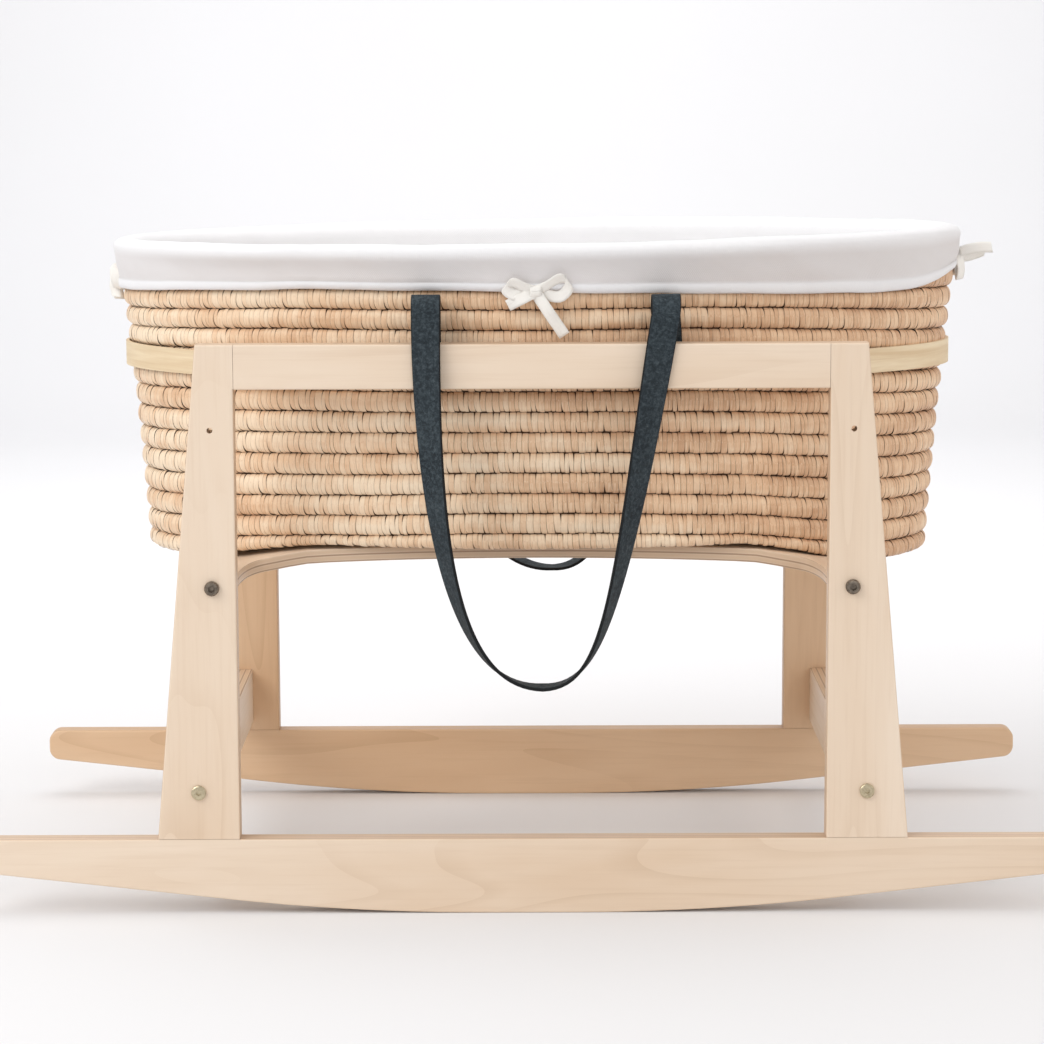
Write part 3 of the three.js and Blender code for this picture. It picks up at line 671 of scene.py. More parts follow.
# A coil is many copies of the strip set side by side along an oval line
def layCoil(name, line, low, high, halfDepth, draw):
    count = int(round(line.length / coilForm["stripWidth"]))
    widths = 1 + coilForm["unevenWidth"] * (draw.random(count) * 2 - 1)
    widths *= line.length / widths.sum()
    middles = np.cumsum(widths) - widths / 2
    tones = draw.random(count)
    deep = 1 + coilForm["unevenDepth"] * (draw.random(count) * 2 - 1)
    drift = (draw.random(count) * 2 - 1) * coilForm["drift"]
    leans = (draw.random(count) * 2 - 1) * coilForm["lean"]
    angle = np.arctan2(stripPoints[:, 2], stripPoints[:, 1])
    angle = angle - 0.38 * np.sin(angle)
    radius = np.hypot(stripPoints[:, 1], stripPoints[:, 2])
    bend = 2 / coilForm["roundness"]
    outward = halfDepth * np.sign(np.cos(angle)) * np.abs(np.cos(angle)) ** bend * radius
    upward = np.sign(np.sin(angle)) * np.abs(np.sin(angle)) ** bend * (1 - (1 - radius) * 0.35)
    narrow = 1 - coilForm["pinch"] * np.abs(upward) ** 6
    across = stripPoints[:, 0] * coilForm["overlap"] * narrow
    slide = coilForm["slant"] * np.clip(-upward - 0.1, 0, 1) ** 1.6
    along = middles[:, None] + across[None, :] * widths[:, None]
    along = along + slide[None, :] + leans[:, None] * upward[None, :]
    x, y, outX, outY, reach = line.at(along)
    out = outward[None, :] * deep[:, None]
    under, over = (seam + settledBy(reach, seam) - rowDroop(reach, seam) for seam in (low, high))
    z = (under + over) / 2 + upward[None, :] * (over - under) / 2 * 1.015 + drift[:, None]
    places = [basketForm["middle"] + x + outX * out, y + outY * out, z]
    size = len(stripPoints)
    faces = (stripFaces[None] + (np.arange(count) * size)[:, None, None]).reshape(-1, 4)
    coil = meshPiece(name, np.stack(places, -1).reshape(-1, 3), faces)
    pointValues(coil, "tone", np.repeat(tones, size))
    # Masks for the painted shade: edge for the gaps between strips, crease for the groove between
    # coils
    pointValues(coil, "edge", np.tile(np.abs(stripPoints[:, 0]) * 2, count))
    pointValues(coil, "crease", np.tile(np.abs(upward), count))
    around = np.tile(np.unwrap(angle) * (halfDepth + (high - low) / 2) / 2, count)
    uvFromPoints(coil, "strip", np.stack([along.ravel(), around], -1))
    coil.data.materials.append(finishes["palm"])
    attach(coil, "basket")


seams = [basketForm["bottom"]]
seams += [coilForm["firstSeam"] + coilForm["pitch"] * i for i in range(coilForm["count"] - 1)]
seams.append(basketForm["bottom"] + basketForm["height"])
for index, (low, high) in enumerate(zip(seams, seams[1:])):
    line = OvalLine((low + high) / 2, coilForm["depth"] / 2)
    draw = np.random.default_rng(coilForm["seed"] + index)
    layCoil(f"wall_coil_{index + 1:02d}", line, low, high, coilForm["depth"] / 2, draw)
print("wall coils laid")

baseForm = {
    "low": 0.3165,
    "high": 0.3311,
    "pitch": 0.0182,
    "gap": 0.52,             # from the wall to the first coil's middle, in pitches
    "lastInset": 0.19,
    "seed": 111,
}

baseCount = 0
inset = coilForm["depth"] + baseForm["pitch"] * baseForm["gap"]
while inset < baseForm["lastInset"]:
    line = OvalLine(basketForm["bottom"], inset)
    draw = np.random.default_rng(baseForm["seed"] + baseCount)
    baseCount += 1
    name = f"base_coil_{baseCount:02d}"
    layCoil(name, line, baseForm["low"], baseForm["high"], baseForm["pitch"] / 2, draw)
    inset += baseForm["pitch"]
print("base coils laid:", baseCount)


# A closed skin round the basket's oval through rows of (inset, height, share of the oval, droops)
def ovalSkin(name, profile, steps):
    points = []
    angle = np.linspace(0, 2 * math.pi, steps, endpoint=False)
    for inset, z, share, droops in profile:
        halfLength, halfWidth = halfSizes(z)
        x, y = ovalPoint(halfLength - inset, halfWidth - inset, angle)
        reach = ovalPoint(basketForm["halfLength"], basketForm["halfWidth"], angle)[0] * share
        lift = settledBy(reach, z, droops)
        points.append(np.stack([basketForm["middle"] + x * share, y * share, z + lift], -1))
    return meshPiece(name, np.concatenate(points), gridFaces(len(points), steps))


coreForm = {
    "outer": 0.0056,         # inset of the outer face of the wall
    "inner": 0.011,
    "rise": 0.255,
    "foot": 0.006,
    "floorInset": 0.03,
    "floorTop": 0.3275,
    "floorUnder": 0.3215,
}

# The inside of the coils, painted near-black as the shade seen in the gaps between the strips: a slim
# wall and floor that close those gaps
bottom = basketForm["bottom"]
top = bottom + coreForm["rise"]
shares = (1, 0.8, 0.6, 0.3, 0.02)
profile = [(coreForm["outer"], z, 1, True) for z in np.linspace(bottom + coreForm["foot"], top, 15)]
profile += [(coreForm["inner"], top, 1, False), (coreForm["inner"], bottom + 0.012, 1, False)]
profile += [(coreForm["floorInset"], coreForm["floorTop"], share, False) for share in shares]
profile += [(coreForm["floorInset"], coreForm["floorUnder"], share, True) for share in shares[::-1]]
core = ovalSkin("basket_core", profile + profile[:1], 160)
faceOutwards(core, mergeWithin=0.00005)
core.data.materials.append(finishes["core"])
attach(core, "basket")
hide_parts("basket")
print("basket core made")


seatForm = {
    "top": 0.3157,
    "radius": 4.52,          # of the shallow arch
    "archEnd": 0.190,
    "bendRadius": 0.15,
    "slope": math.radians(11),
    "softEdge": 0.0012,
}


# Height of the seat's upper face: a shallow arch, a bend, then a straight slope
def seatUpper(x):
    reach = np.abs(x)
    radius, archEnd, bendRadius = (seatForm[k] for k in ("radius", "archEnd", "bendRadius"))
    startSine = archEnd / radius
    bendEnd = archEnd + bendRadius * (math.sin(seatForm["slope"]) - startSine)
    arch = radius - np.sqrt(radius ** 2 - np.minimum(reach, archEnd) ** 2)
    sine = startSine + (np.clip(reach, archEnd, bendEnd) - archEnd) / bendRadius
    bend = bendRadius * (math.sqrt(1 - startSine ** 2) - np.sqrt(1 - sine ** 2))
    straight = np.maximum(reach - bendEnd, 0) * math.tan(seatForm["slope"])
    return seatForm["top"] - arch - bend - straight


seat = bpy.data.objects.new("seat_panel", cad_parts["seat"].data.copy())
bpy.context.scene.collection.objects.link(seat)
pickOnly(seat)
bpy.ops.object.mode_set(mode="EDIT")
bpy.ops.mesh.select_all(action="SELECT")
bpy.ops.mesh.remove_doubles(threshold=0.00002)
bpy.ops.mesh.tris_convert_to_quads()
bpy.ops.object.mode_set(mode="OBJECT")
applyModifier(
    seat, "BEVEL", width=seatForm["softEdge"], segments=2,
    limit_method="ANGLE", angle_limit=math.radians(50),
)
places = np.array([point.co for point in seat.data.vertices])
pointValues(seat, "layer", seatUpper(places[:, 0]) - places[:, 2])
pickOnly(seat)
bpy.ops.object.shade_smooth_by_angle(angle=math.radians(35))
seat.data.materials.clear()
seat.data.materials.append(finishes["seat"])
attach(seat, "stand")
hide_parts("seat")
print("seat made")


linerForm = {
    "cloth": 0.0013,
    "columns": 384,
    "puff": 0.0022,          # how uneven the padded rim is
    "gather": 0.0014,        # how deep the skirt's puckers are
    "fold": 0.0042,          # how deep its long soft folds are
    "hemWave": 0.0009,
    "hemBand": 0.0068,
    # hem height against its level, from the foot end (-1) to the head end (1)
    "hemLine": (
        (-1, -0.0055), (-0.85, -0.001), (-0.5, 0.004), (-0.1, 0.002),
        (0.4, -0.0035), (0.84, -0.0100), (0.94, -0.004), (1, 0.0095),
    ),
    "rollEnds": (0.0062, 0.0055),    # how much the roll shrinks at the foot and the head end
    "crease": 0.0016,        # how deep the creases of its inside are
    "floor": 0.3326,
    "flat": (0.86, 1.24),
    "flatArea": 0.80,
    "seed": 5.3,
}


def hemLift(spread):
    known, heights = zip(*linerForm["hemLine"])
    fine = np.linspace(-1, 1, 401)
    bell = np.exp(-(np.linspace(-0.1, 0.1, 41) / 0.04) ** 2)
    line = np.interp(fine, known, heights)
    padded = np.concatenate([np.full(20, heights[0]), line, np.full(20, heights[-1])])
    return np.interp(spread, fine, np.convolve(padded, bell / bell.sum(), "valid"))


# Rows of the liner from its hem over the roll and down to the middle of its floor:
# (inset from the wall, height, share of the oval), and how many are skirt and roll
def linerProfile():
    wall = basketForm["wall"] + 0.0016
    rim, hem = basketForm["rimTop"], basketForm["hem"]
    band, floor = linerForm["hemBand"], linerForm["floor"]
    skirt = [
        (-0.0012, hem), (-0.0024, hem + 0.0006), (-0.0031, hem + band * 0.4),
        (-0.0030, hem + band * 0.85), (-0.0018, hem + band), (-0.0022, hem + band * 1.25),
        (-0.0032, hem + 0.013), (-0.0046, hem + 0.018), (-0.0060, hem + 0.023),
        (-0.0076, hem + 0.0275),
    ]
    roll = [
        (-0.0089, rim - 0.0095), (-0.0091, rim - 0.0062), (-0.0076, rim - 0.0030),
        (-0.0040, rim - 0.0008), (0.0008, rim + 0.0002), (0.0075, rim - 0.0002),
        (0.0118, rim - 0.0018), (0.0152, rim - 0.0048), (0.0172, rim - 0.0088),
        (wall + 0.0008, rim - 0.0135),
    ]
    inside = [(wall, z) for z in np.linspace(rim - 0.022, 0.338, 20)]
    floorEdge = [(wall + 0.002, 0.3338), (wall + 0.006, floor)]
    rows = [(inset, z, 1.0) for inset, z in skirt + roll + inside + floorEdge]
    shares = (0.93, 0.84, 0.72, 0.58, 0.43, 0.28, 0.14, 0.03)
    rows += [(wall + 0.006, floor, share) for share in shares]
    return rows, len(skirt), len(roll)


# How far each point of a row stands out and up: folds low on the skirt, a padded roll,
# shallow creases inside and an almost flat floor
def linerUneven(row, z, share, x, y, skirtRows, rollRows):
    seed, puff = linerForm["seed"], linerForm["puff"]
    out, up = np.zeros(len(x)), np.zeros(len(x))
    for k, (px, py) in enumerate(zip(x, y)):
        if row < skirtRows + 2:
            down = 1 - row / (skirtRows + 2)
            long = softNoise(px * 5.5, py * 5.5, z * 62 + seed)
            broad = softNoise(px * 11, py * 11, z * 30 + seed * 2)
            pucker = softNoise(px * 60, py * 60, z * 9 + seed)
            out[k] = linerForm["fold"] * (0.9 * long + 0.5 * broad) * (0.35 + 0.65 * down)
            out[k] += linerForm["gather"] * pucker * down
        elif row < skirtRows + rollRows:
            out[k] = puff * softNoise(px * 14, py * 14, seed) * 0.5
            wave = softNoise(px * 9, py * 9, seed + 4)
            up[k] = puff * (wave * 0.7 + softNoise(px * 45, py * 45, z * 60) * 0.25)
        elif share == 1.0:
            drop = (basketForm["rimTop"] - z) * 10
            crease = softNoise(px * 16, py * 16, z * 10 + seed)
            ripple = softNoise(px * 50, py * 50, z * 24 + drop)
            out[k] = -abs(linerForm["crease"] * crease) - abs(0.0007 * ripple)
        else:
            up[k] = 0.0005 + 0.0005 * softNoise(px * 12 * share, py * 12 * share, seed)
    return out, up


def makeLiner():
    rows, skirtRows, rollRows = linerProfile()
    columns = linerForm["columns"]
    angle = np.linspace(0, 2 * math.pi, columns, endpoint=False)
    points, cloth = [], []
    girth = 0.0
    for row, (inset, z, share) in enumerate(rows):
        halfLength, halfWidth = halfSizes(z)
        x, y = ovalPoint(halfLength - inset, halfWidth - inset, angle)
        reach = ovalPoint(basketForm["halfLength"], basketForm["halfWidth"], angle)[0] * share
        normalX, normalY = x / halfLength ** 2, y / halfWidth ** 2
        size = np.hypot(normalX, normalY) + 1e-9
        normalX, normalY = normalX / size, normalY / size
        lift = settledBy(reach, z, row < skirtRows)
        out, up = linerUneven(row, z, share, x, y, skirtRows, rollRows)
        spread = reach / basketForm["halfLength"]
        ends = np.where(spread < 0, *linerForm["rollEnds"])
        ends = ends * np.clip((np.abs(spread) - 0.8) / 0.2, 0, 1) ** 1.2
        if row < skirtRows + rollRows:
            upwards = min(row / skirtRows, 1) ** 2 * min((skirtRows + rollRows - row) / 5, 1)
            out -= ends * upwards
            out += np.where(spread > 0, 0.35, 0.0) * ends * math.exp(-((row - 6.5) / 1.5) ** 2)
        if row < skirtRows + 1:
            low = 1 - row / (skirtRows + 1)
            waves = np.array([softNoise(a * 22, b * 22, 7.7) for a, b in zip(x, y)])
            up += hemLift(spread) * low
            up += linerForm["hemWave"] * waves * low
        out = np.maximum(out, -0.0008) if row < 6 else out
        spotX = basketForm["middle"] + (x + normalX * out) * share
        spot = np.stack([spotX, (y + normalY * out) * share, z + lift + up], -1)
        if points:
            girth += float(np.median(np.linalg.norm(spot - points[-1], axis=1)))
        points.append(spot)
        length = np.concatenate([[0], np.cumsum(np.hypot(np.diff(x), np.diff(y)))])
        if share == 1.0:
            cloth.append(np.stack([length, np.full(columns, girth)], -1))
        else:
            cloth.append(spot[:, :2] + 3.0)
    faces = gridFaces(len(rows), columns)
    last = (len(rows) - 1) * columns
    faces.append(tuple(last + column for column in range(columns)))
    liner = meshPiece("liner_cloth", np.concatenate(points), faces)
    uvFromPoints(liner, "cloth", np.concatenate(cloth))
    single = (3.4, 4.2, skirtRows - 1, skirtRows + 1.5)    # rows where the cloth is one layer and takes the painted shade
    oneLayerShade = np.interp(np.arange(len(rows)), single, (0, 1, 1, 0))
    pointValues(liner, "oneLayerShade", np.repeat(oneLayerShade, columns))
    faceOutwards(liner)
    applyModifier(liner, "SOLIDIFY", thickness=linerForm["cloth"], offset=1.0)
    liner.data.materials.append(finishes["cotton"])
    return liner


liner = makeLiner()
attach(liner, "basket")
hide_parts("liner")
print("liner made")


mattressForm = {
    "bottom": 0.3350,
    "top": 0.3700,
    "inset": 0.0215,
    "round": 0.010,
    "voxel": 0.006,
    "pressure": 4.0,
    "frames": 20,
    "cap": 0.0052,           # how far the filling may push a point of the cover
    "seamDepth": 0.0016,
    "seamWidth": 0.0016,
    "seamRises": (0.0075, 0.0055),   # from the bottom, and down from the top
    "fill": 0.6,
}


def makeMattress():
    low, high, inset, soft = (mattressForm[k] for k in ("bottom", "top", "inset", "round"))
    profile = [(inset + soft, low, share, False) for share in (0.02, 0.6, 1)]
    profile += [(inset + 0.002, low + soft * 0.4, 1, False), (inset, low + soft, 1, False)]
    profile += [(inset - 0.001, (low + high) / 2, 1, False), (inset, high - soft, 1, False)]
    profile += [(inset + 0.002, high - soft * 0.4, 1, False)]
    profile += [(inset + soft, high, share, False) for share in (1, 0.6, 0.02)]
    pad = ovalSkin("mattress_pad", profile, 96)
    pickOnly(pad)
    bpy.ops.object.mode_set(mode="EDIT")
    bpy.ops.mesh.select_mode(type="EDGE")
    bpy.ops.mesh.select_all(action="DESELECT")
    bpy.ops.mesh.select_non_manifold()
    bpy.ops.mesh.edge_face_add()
    faceOutwards(pad)
    applyModifier(pad, "REMESH", mode="VOXEL", voxel_size=mattressForm["voxel"])
    return pad


def readPoints(mesh):
    flat = np.empty(len(mesh.vertices) * 3, np.float64)
    mesh.vertices.foreach_get("co", flat)
    return flat.reshape(-1, 3)


def writePoints(mesh, points):
    mesh.vertices.foreach_set("co", points.ravel())
    mesh.update()


# The filling pushes the cover out; the bottom stays flat on the basket's floor
def fillPad(pad):
    before = readPoints(pad.data)
    pickOnly(pad)
    cloth = pad.modifiers.new("Cloth", "CLOTH")
    cloth.settings.use_pressure = True
    cloth.settings.uniform_pressure_force = mattressForm["pressure"]
    cloth.settings.effector_weights.gravity = 0
    scene = bpy.context.scene
    for step in range(1, mattressForm["frames"] + 1):
        scene.frame_set(step)
    solved = pad.evaluated_get(bpy.context.evaluated_depsgraph_get()).to_mesh()
    move = readPoints(solved) - before
    pad.modifiers.remove(cloth)
    scene.frame_set(1)
    reach = np.linalg.norm(move, axis=1)
    cap = mattressForm["cap"]
    move *= (cap * np.tanh(reach / cap) / np.maximum(reach, 1e-9))[:, None]
    after = before + move
    after[:, 2] = np.maximum(after[:, 2], mattressForm["bottom"])
    writePoints(pad.data, after)


# A piped seam sinks the cover along its upper and lower edge
def seamPad(pad):
    points = readPoints(pad.data)
    rises = mattressForm["seamRises"]
    for level in (mattressForm["bottom"] + rises[0], mattressForm["top"] - rises[1]):
        near = np.exp(-((points[:, 2] - level) / mattressForm["seamWidth"]) ** 2)
        x, y = points[:, 0] - basketForm["middle"], points[:, 1]
        radial = np.hypot(x / basketForm["halfLength"], y / basketForm["halfWidth"])
        near *= np.clip((radial - 0.8) / 0.08, 0, 1)
        size = np.hypot(x, y) + 1e-9
        points[:, 0] -= x / size * near * mattressForm["seamDepth"]
        points[:, 1] -= y / size * near * mattressForm["seamDepth"]
    writePoints(pad.data, points)


mattress = makeMattress()
fillPad(mattress)
applyModifier(mattress, "SUBSURF", levels=1)
seamPad(mattress)
pickOnly(mattress)
bpy.ops.object.shade_smooth()
print("mattress made")


strapForm = {
    "width": 0.025,
    "thickness": 0.003,
    "railOut": 0.2415,       # the rail's outer face
    "free": 0.0007,          # between the strap and the rail
    "clear": 0.0003,         # between the strap and the coils
    "foldHeight": 0.5295,
    "tabFoot": 0.464,
    "edge": 0.0008,
    "footSteps": 9,
    "foldSteps": 14,
    "steps": 64,
    "fine": 400,
    "bowl": {"left": -0.055, "right": 0.052},    # how wide the loop swings at its lowest point
    "creaseStart": (0.00496, 0.00164),   # inwards and up from the middle of the fold's end
    "creaseEnd": (0.00135, 0.00045),
}
handleForms = {
    "front": {
        "side": -1, "left": -0.091, "right": 0.1155, "bottom": (0.0086, 0.2045),
        "lean": {"left": 0.0, "right": 0.13}, "tabDrift": {"left": 0.0, "right": 0.0045},
    },
    "rear": {
        "side": 1, "left": -0.093, "right": 0.118, "bottom": (0.0216, 0.229),
        "lean": {"left": 0.0, "right": 0.10}, "tabDrift": {"left": 0.0, "right": 0.004},
    },
}


def wallOut(x, z):
    halfLength, halfWidth = halfSizes(z)
    share = 1 - (abs(x - basketForm["middle"]) / halfLength) ** basketForm["power"]
    return halfWidth * share ** (1 / basketForm["power"])


def cubic(a, b, c, d, t):
    return a * (1 - t) ** 3 + b * 3 * t * (1 - t) ** 2 + c * 3 * t * t * (1 - t) + d * t ** 3


# Sections of one half of a strap from its sewn foot up inside the rail and over the fold: each
# is a middle point, the direction across the strap and the direction through it
def foldSections(form, end):
    half, top = strapForm["thickness"] / 2, strapForm["foldHeight"]
    foldX, side, lean = form[end], form["side"], form["lean"][end]
    hand = 1 if end == "left" else -1
    swing = strapForm["railOut"] + strapForm["free"] + half
    corners = [foldX + s * strapForm["width"] / 2 for s in (-1, 1)]
    foot = max(wallOut(x, strapForm["tabFoot"]) for x in corners) + half + strapForm["clear"]
    riser = wallOut(basketForm["middle"], top) + half + strapForm["clear"]
    radius = (swing - riser) / 2
    route = []
    low, high = Vector((foot, strapForm["tabFoot"])), Vector((riser, top))
    for i in range(strapForm["footSteps"]):
        share = i / strapForm["footSteps"]
        out = foot + (riser - foot) * (1 - (1 - share) ** 1.6)
        route.append((form["tabDrift"][end] * (1 - share) ** 0.7, out, low.lerp(high, share).y))
    for i in range(strapForm["foldSteps"] + 1):
        angle = math.pi * (1 - i / strapForm["foldSteps"])
        out = riser + radius + radius * math.cos(angle)
        route.append((0.0, out, top + radius * math.sin(angle)))
    sections = []
    for i, (shift, out, z) in enumerate(route):
        before, after = route[max(i - 1, 0)], route[min(i + 1, len(route) - 1)]
        run = Vector((0, (after[1] - before[1]) * side, after[2] - before[2])).normalized()
        through = Vector((0, -side * run.z, side * run.y))
        tip = lean * 0.8 * min(max((i - 14) / 9, 0), 1)
        across = Vector((hand * math.cos(tip), 0, hand * math.sin(tip)))
        sections.append((Vector((foldX + shift, out * side, z)), across, through))
    return sections


# The same for the free loop, from the fold down to its lowest point, where the strap has
# turned on its edge
def loopSections(form, end):
    half, top, fine = strapForm["thickness"] / 2, strapForm["foldHeight"], strapForm["fine"]
    foldX, side, lean = form[end], form["side"], form["lean"][end]
    hand = 1 if end == "left" else -1
    bottomX, bottomZ = form["bottom"]
    drop = top - bottomZ
    corners = [
        Vector((foldX, 0, top)),
        Vector((foldX - lean * drop, 0, top - drop * 0.8)),
        Vector((bottomX + strapForm["bowl"][end], 0, bottomZ)),
        Vector((bottomX, 0, bottomZ)),
    ]
    spots = [cubic(*corners, i / fine) for i in range(fine + 1)]
    runs = [(spots[i + 1] - spots[i]).length for i in range(fine)]
    lengths = np.concatenate([[0], np.cumsum(runs)])
    outwards = Vector((0, side, 0))
    sections = []
    for i in range(1, strapForm["steps"] + 1):
        share = i / strapForm["steps"]
        t = float(np.interp(share * lengths[-1], lengths, np.linspace(0, 1, fine + 1)))
        middle = cubic(*corners, t)
        ahead = (cubic(*corners, min(t + 0.004, 1)) - cubic(*corners, max(t - 0.004, 0))).normalized()
        turning = math.pi / 2 * share ** 0.85
        flatways = Vector((-ahead.z, 0, ahead.x)) * hand
        across = flatways * math.cos(turning) + outwards * math.sin(turning)
        through = outwards * math.cos(turning) - flatways * math.sin(turning)
        lift = half * math.cos(turning) + strapForm["width"] / 2 * math.sin(turning)
        middle.y = side * (strapForm["railOut"] + strapForm["free"] + lift)
        sections.append((middle, across, through))
    return sections


# The strap's cut: (across, through, how near the edge), with softened edges
def strapOutline():
    half, thick, edge = strapForm["width"] / 2, strapForm["thickness"] / 2, strapForm["edge"]
    quarter = [
        (half, thick - edge, 1.0), (half - edge * 0.5, thick - edge * 0.25, 0.95),
        (half - edge * 1.3, thick, 0.75), (half - edge * 2.6, thick, 0.0),
        (half * 0.5, thick, 0.0), (0.0, thick, 0.0),
    ]
    upper = quarter + [(-a, b, value) for a, b, value in reversed(quarter[:-1])]
    return upper + [(a, -b, value) for a, b, value in reversed(upper)]


def makeStrap(name, form):
    left, right = (foldSections(form, end) + loopSections(form, end) for end in ("left", "right"))
    sections = left + list(reversed(right[:-1]))
    outline = strapOutline()
    points, edges = [], []
    for middle, across, through in sections:
        for a, b, value in outline:
            points.append(middle + across * a + through * b)
            edges.append(value)
    size, rows = len(outline), len(sections)
    faces = gridFaces(rows, size)
    faces += [tuple(range(size)), tuple((rows - 1) * size + i for i in range(size))]
    strap = meshPiece(name, points, faces)
    pointValues(strap, "edge", edges)
    faceOutwards(strap)
    bpy.ops.object.shade_smooth_by_angle(angle=math.radians(50))
    strap.data.materials.append(finishes["leather"])
    return strap


# Each handle becomes one strap from its sewn feet over the fold and round the loop, with its
# transform baked in
for hand, form in handleForms.items():
    strap = makeStrap(f"{hand}_strap", form)
    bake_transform(strap)
    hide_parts(f"{hand}_handle", f"{hand}_handle_tab_left", f"{hand}_handle_tab_right")
print("straps made")


bowForm = {
    "tape": 0.0102,
    "cloth": 0.0007,
    "acrossTape": (-0.5, -0.25, 0.0, 0.25, 0.5),
    "loopSteps": 22,
    "tailSteps": 18,
    "routeSteps": 20,
}

# Spots along the tape are in millimetres: along the rim, up, outwards, then the tape's own
# direction. A loop is (reach, rise, side, drop), a tail is (along, up, out, curl), and a
# route gives all its spots, for the bows seen from their side.
bows = {
    "front": {
        "loops": [(25, 9, -1, 1.5), (29, 13, 1, 3.0)],
        "tails": [(-23.5, -12, 1.6, 0.8), (25.5, -38, 1.2, 1.2)],
    },
    "rear": {
        "loops": [(27, 8, -1, 5.0), (24, 9, 1, 3.0)],
        "tails": [(-16, -27, 1.4, 1.2), (19, -24, 1.5, 0.7)],
    },
    "foot": {
        "routes": [
            [(0, 1, 2, 0, 0.6, 0.8), (-5, 4, 6, 0, 0.6, 0.8), (-9, 2, 9, 0, 0.2, 1),
             (-12, -6, 9, 0, 0, 1), (-11, -14, 7, 0, 0, 1), (-8, -17, 5, 0, 0.1, 1),
             (-5, -10, 4, 0, 0.1, 1), (-2, -3, 3, 0, 0.3, 1)],
            [(0, 1, 2, 0, 0.6, 0.8), (5, 5, 5, 0, 0.6, 0.8), (10, 3, 8, 0, 0.2, 1),
             (13, -5, 8, 0, 0, 1), (11, -13, 6, 0, 0, 1), (8, -15, 5, 0, 0.1, 1),
             (5, -9, 4, 0, 0.1, 1), (2, -3, 3, 0, 0.3, 1)],
            [(0, 0, 3, 0.3, 0, 1), (-2, -6, 7, 0.4, 0, 1), (-4, -13, 9, 0.5, 0, 1),
             (-6, -20, 8, 0.5, 0, 1), (-7, -26, 7, 0.4, 0.1, 1)],
            [(0, 0, 3, -0.3, 0, 1), (3, -5, 8, -0.4, 0, 1), (5, -12, 10, -0.3, 0, 1),
             (6, -18, 9, -0.4, 0, 1), (8, -23, 8, -0.5, 0.1, 1)],
        ],
    },
    "head": {
        "routes": [
            [(0, 0, 1, 0.1, 1, 0.2), (-4, 3, 8, 0.1, 1, 0.1), (-6, 5, 16, 0.1, 1, 0.1),
             (-7, 6, 24, 0.1, 1, -0.1), (-8, 6, 33, 0.1, 1, -0.2)],
            [(0, -2, 1, 0.1, 1, 0.2), (4, -3, 8, 0.1, 1, 0.3), (5, -3, 15, 0.1, 1, 0.4),
             (6, -1, 22, 0.1, 1, 0.4), (5, 2, 29, 0.1, 1, 0.3)],
            [(0, 0, 2, 0.2, 0.6, 0.8), (-3, -1, 3, 0.3, 0.5, 0.6), (-6, -7, 4, 0.6, 0.1, 0.7),
             (-7, -15, 5, 0.7, 0, 0.7), (-6, -22, 4, 0.7, 0, 0.7), (-4, -23, 3, 0.7, 0.1, 0.6),
             (-2, -13, 2, 0.6, 0.2, 0.5), (-1, -2, 1, 0.3, 0.4, 0.6)],
            [(0, 0, 2, 0.2, 0.6, 0.8), (3, 0, 3, -0.3, 0.5, 0.6), (6, -6, 4, -0.6, 0.1, 0.7),
             (7, -13, 4, -0.7, 0, 0.7), (6, -19, 3, -0.7, 0, 0.7), (4, -20, 2, -0.7, 0.1, 0.6),
             (2, -11, 2, -0.6, 0.2, 0.5), (1, -2, 1, -0.3, 0.4, 0.6)],
        ],
    },
}


def loopSpots(reach, rise, side, drop):
    return [
        (0, 0.5, 1.2, 0, 1, 0.25),
        (side * reach * 0.30, rise * 0.35, 4.4, 0, 1, 0.5),
        (side * reach * 0.72, rise * 0.9, 6.0, -side * 0.2, 1, 0.7),
        (side * reach * 0.98, rise * 0.78 - drop * 0.2, 4.6, -side * 0.5, 0.8, 0.5),
        (side * reach, rise * 0.35 - drop * 0.5, 2.8, -side * 0.6, 0.7, 0.1),
        (side * reach * 0.74, -rise * 0.10 - drop, 1.9, -side * 0.3, 1, -0.2),
        (side * reach * 0.32, -rise * 0.12 - drop * 0.4, 1.6, 0, 1, 0.1),
        (0, 0, 1.0, 0, 1, 0.2),
    ]


def tailSpots(endAlong, endUp, endOut, curl):
    size = math.hypot(endAlong, endUp)
    acrossA, acrossU = -endUp / size, endAlong / size
    spots = []
    for share, out in ((0, 2.2), (0.2, 3.6), (0.45, 3.1 + curl), (0.72, 2.2), (1, endOut)):
        lift = out + (endOut - 1) * share ** 2
        twist = 0.25 * math.sin(share * 5 * curl)
        spots.append((endAlong * share, endUp * share, lift, acrossA, acrossU, twist))
    return spots


def knotSpots():
    spots = []
    for i in range(9):
        cosine, sine = math.cos(2 * math.pi * i / 8), math.sin(2 * math.pi * i / 8)
        spots.append((0.6 * cosine, 4.6 * sine + 0.3, 2.8 + 2.6 * cosine, 1, 0.12, 0))
    return spots


# A smooth curve past four neighbouring spots, between the second and the third
def curveBetween(v, f):
    square = 2 * v[0] - 5 * v[1] + 4 * v[2] - v[3]
    cube = 3 * v[1] - v[0] - 3 * v[2] + v[3]
    return 0.5 * (2 * v[1] + (v[2] - v[0]) * f + square * f * f + cube * f ** 3)


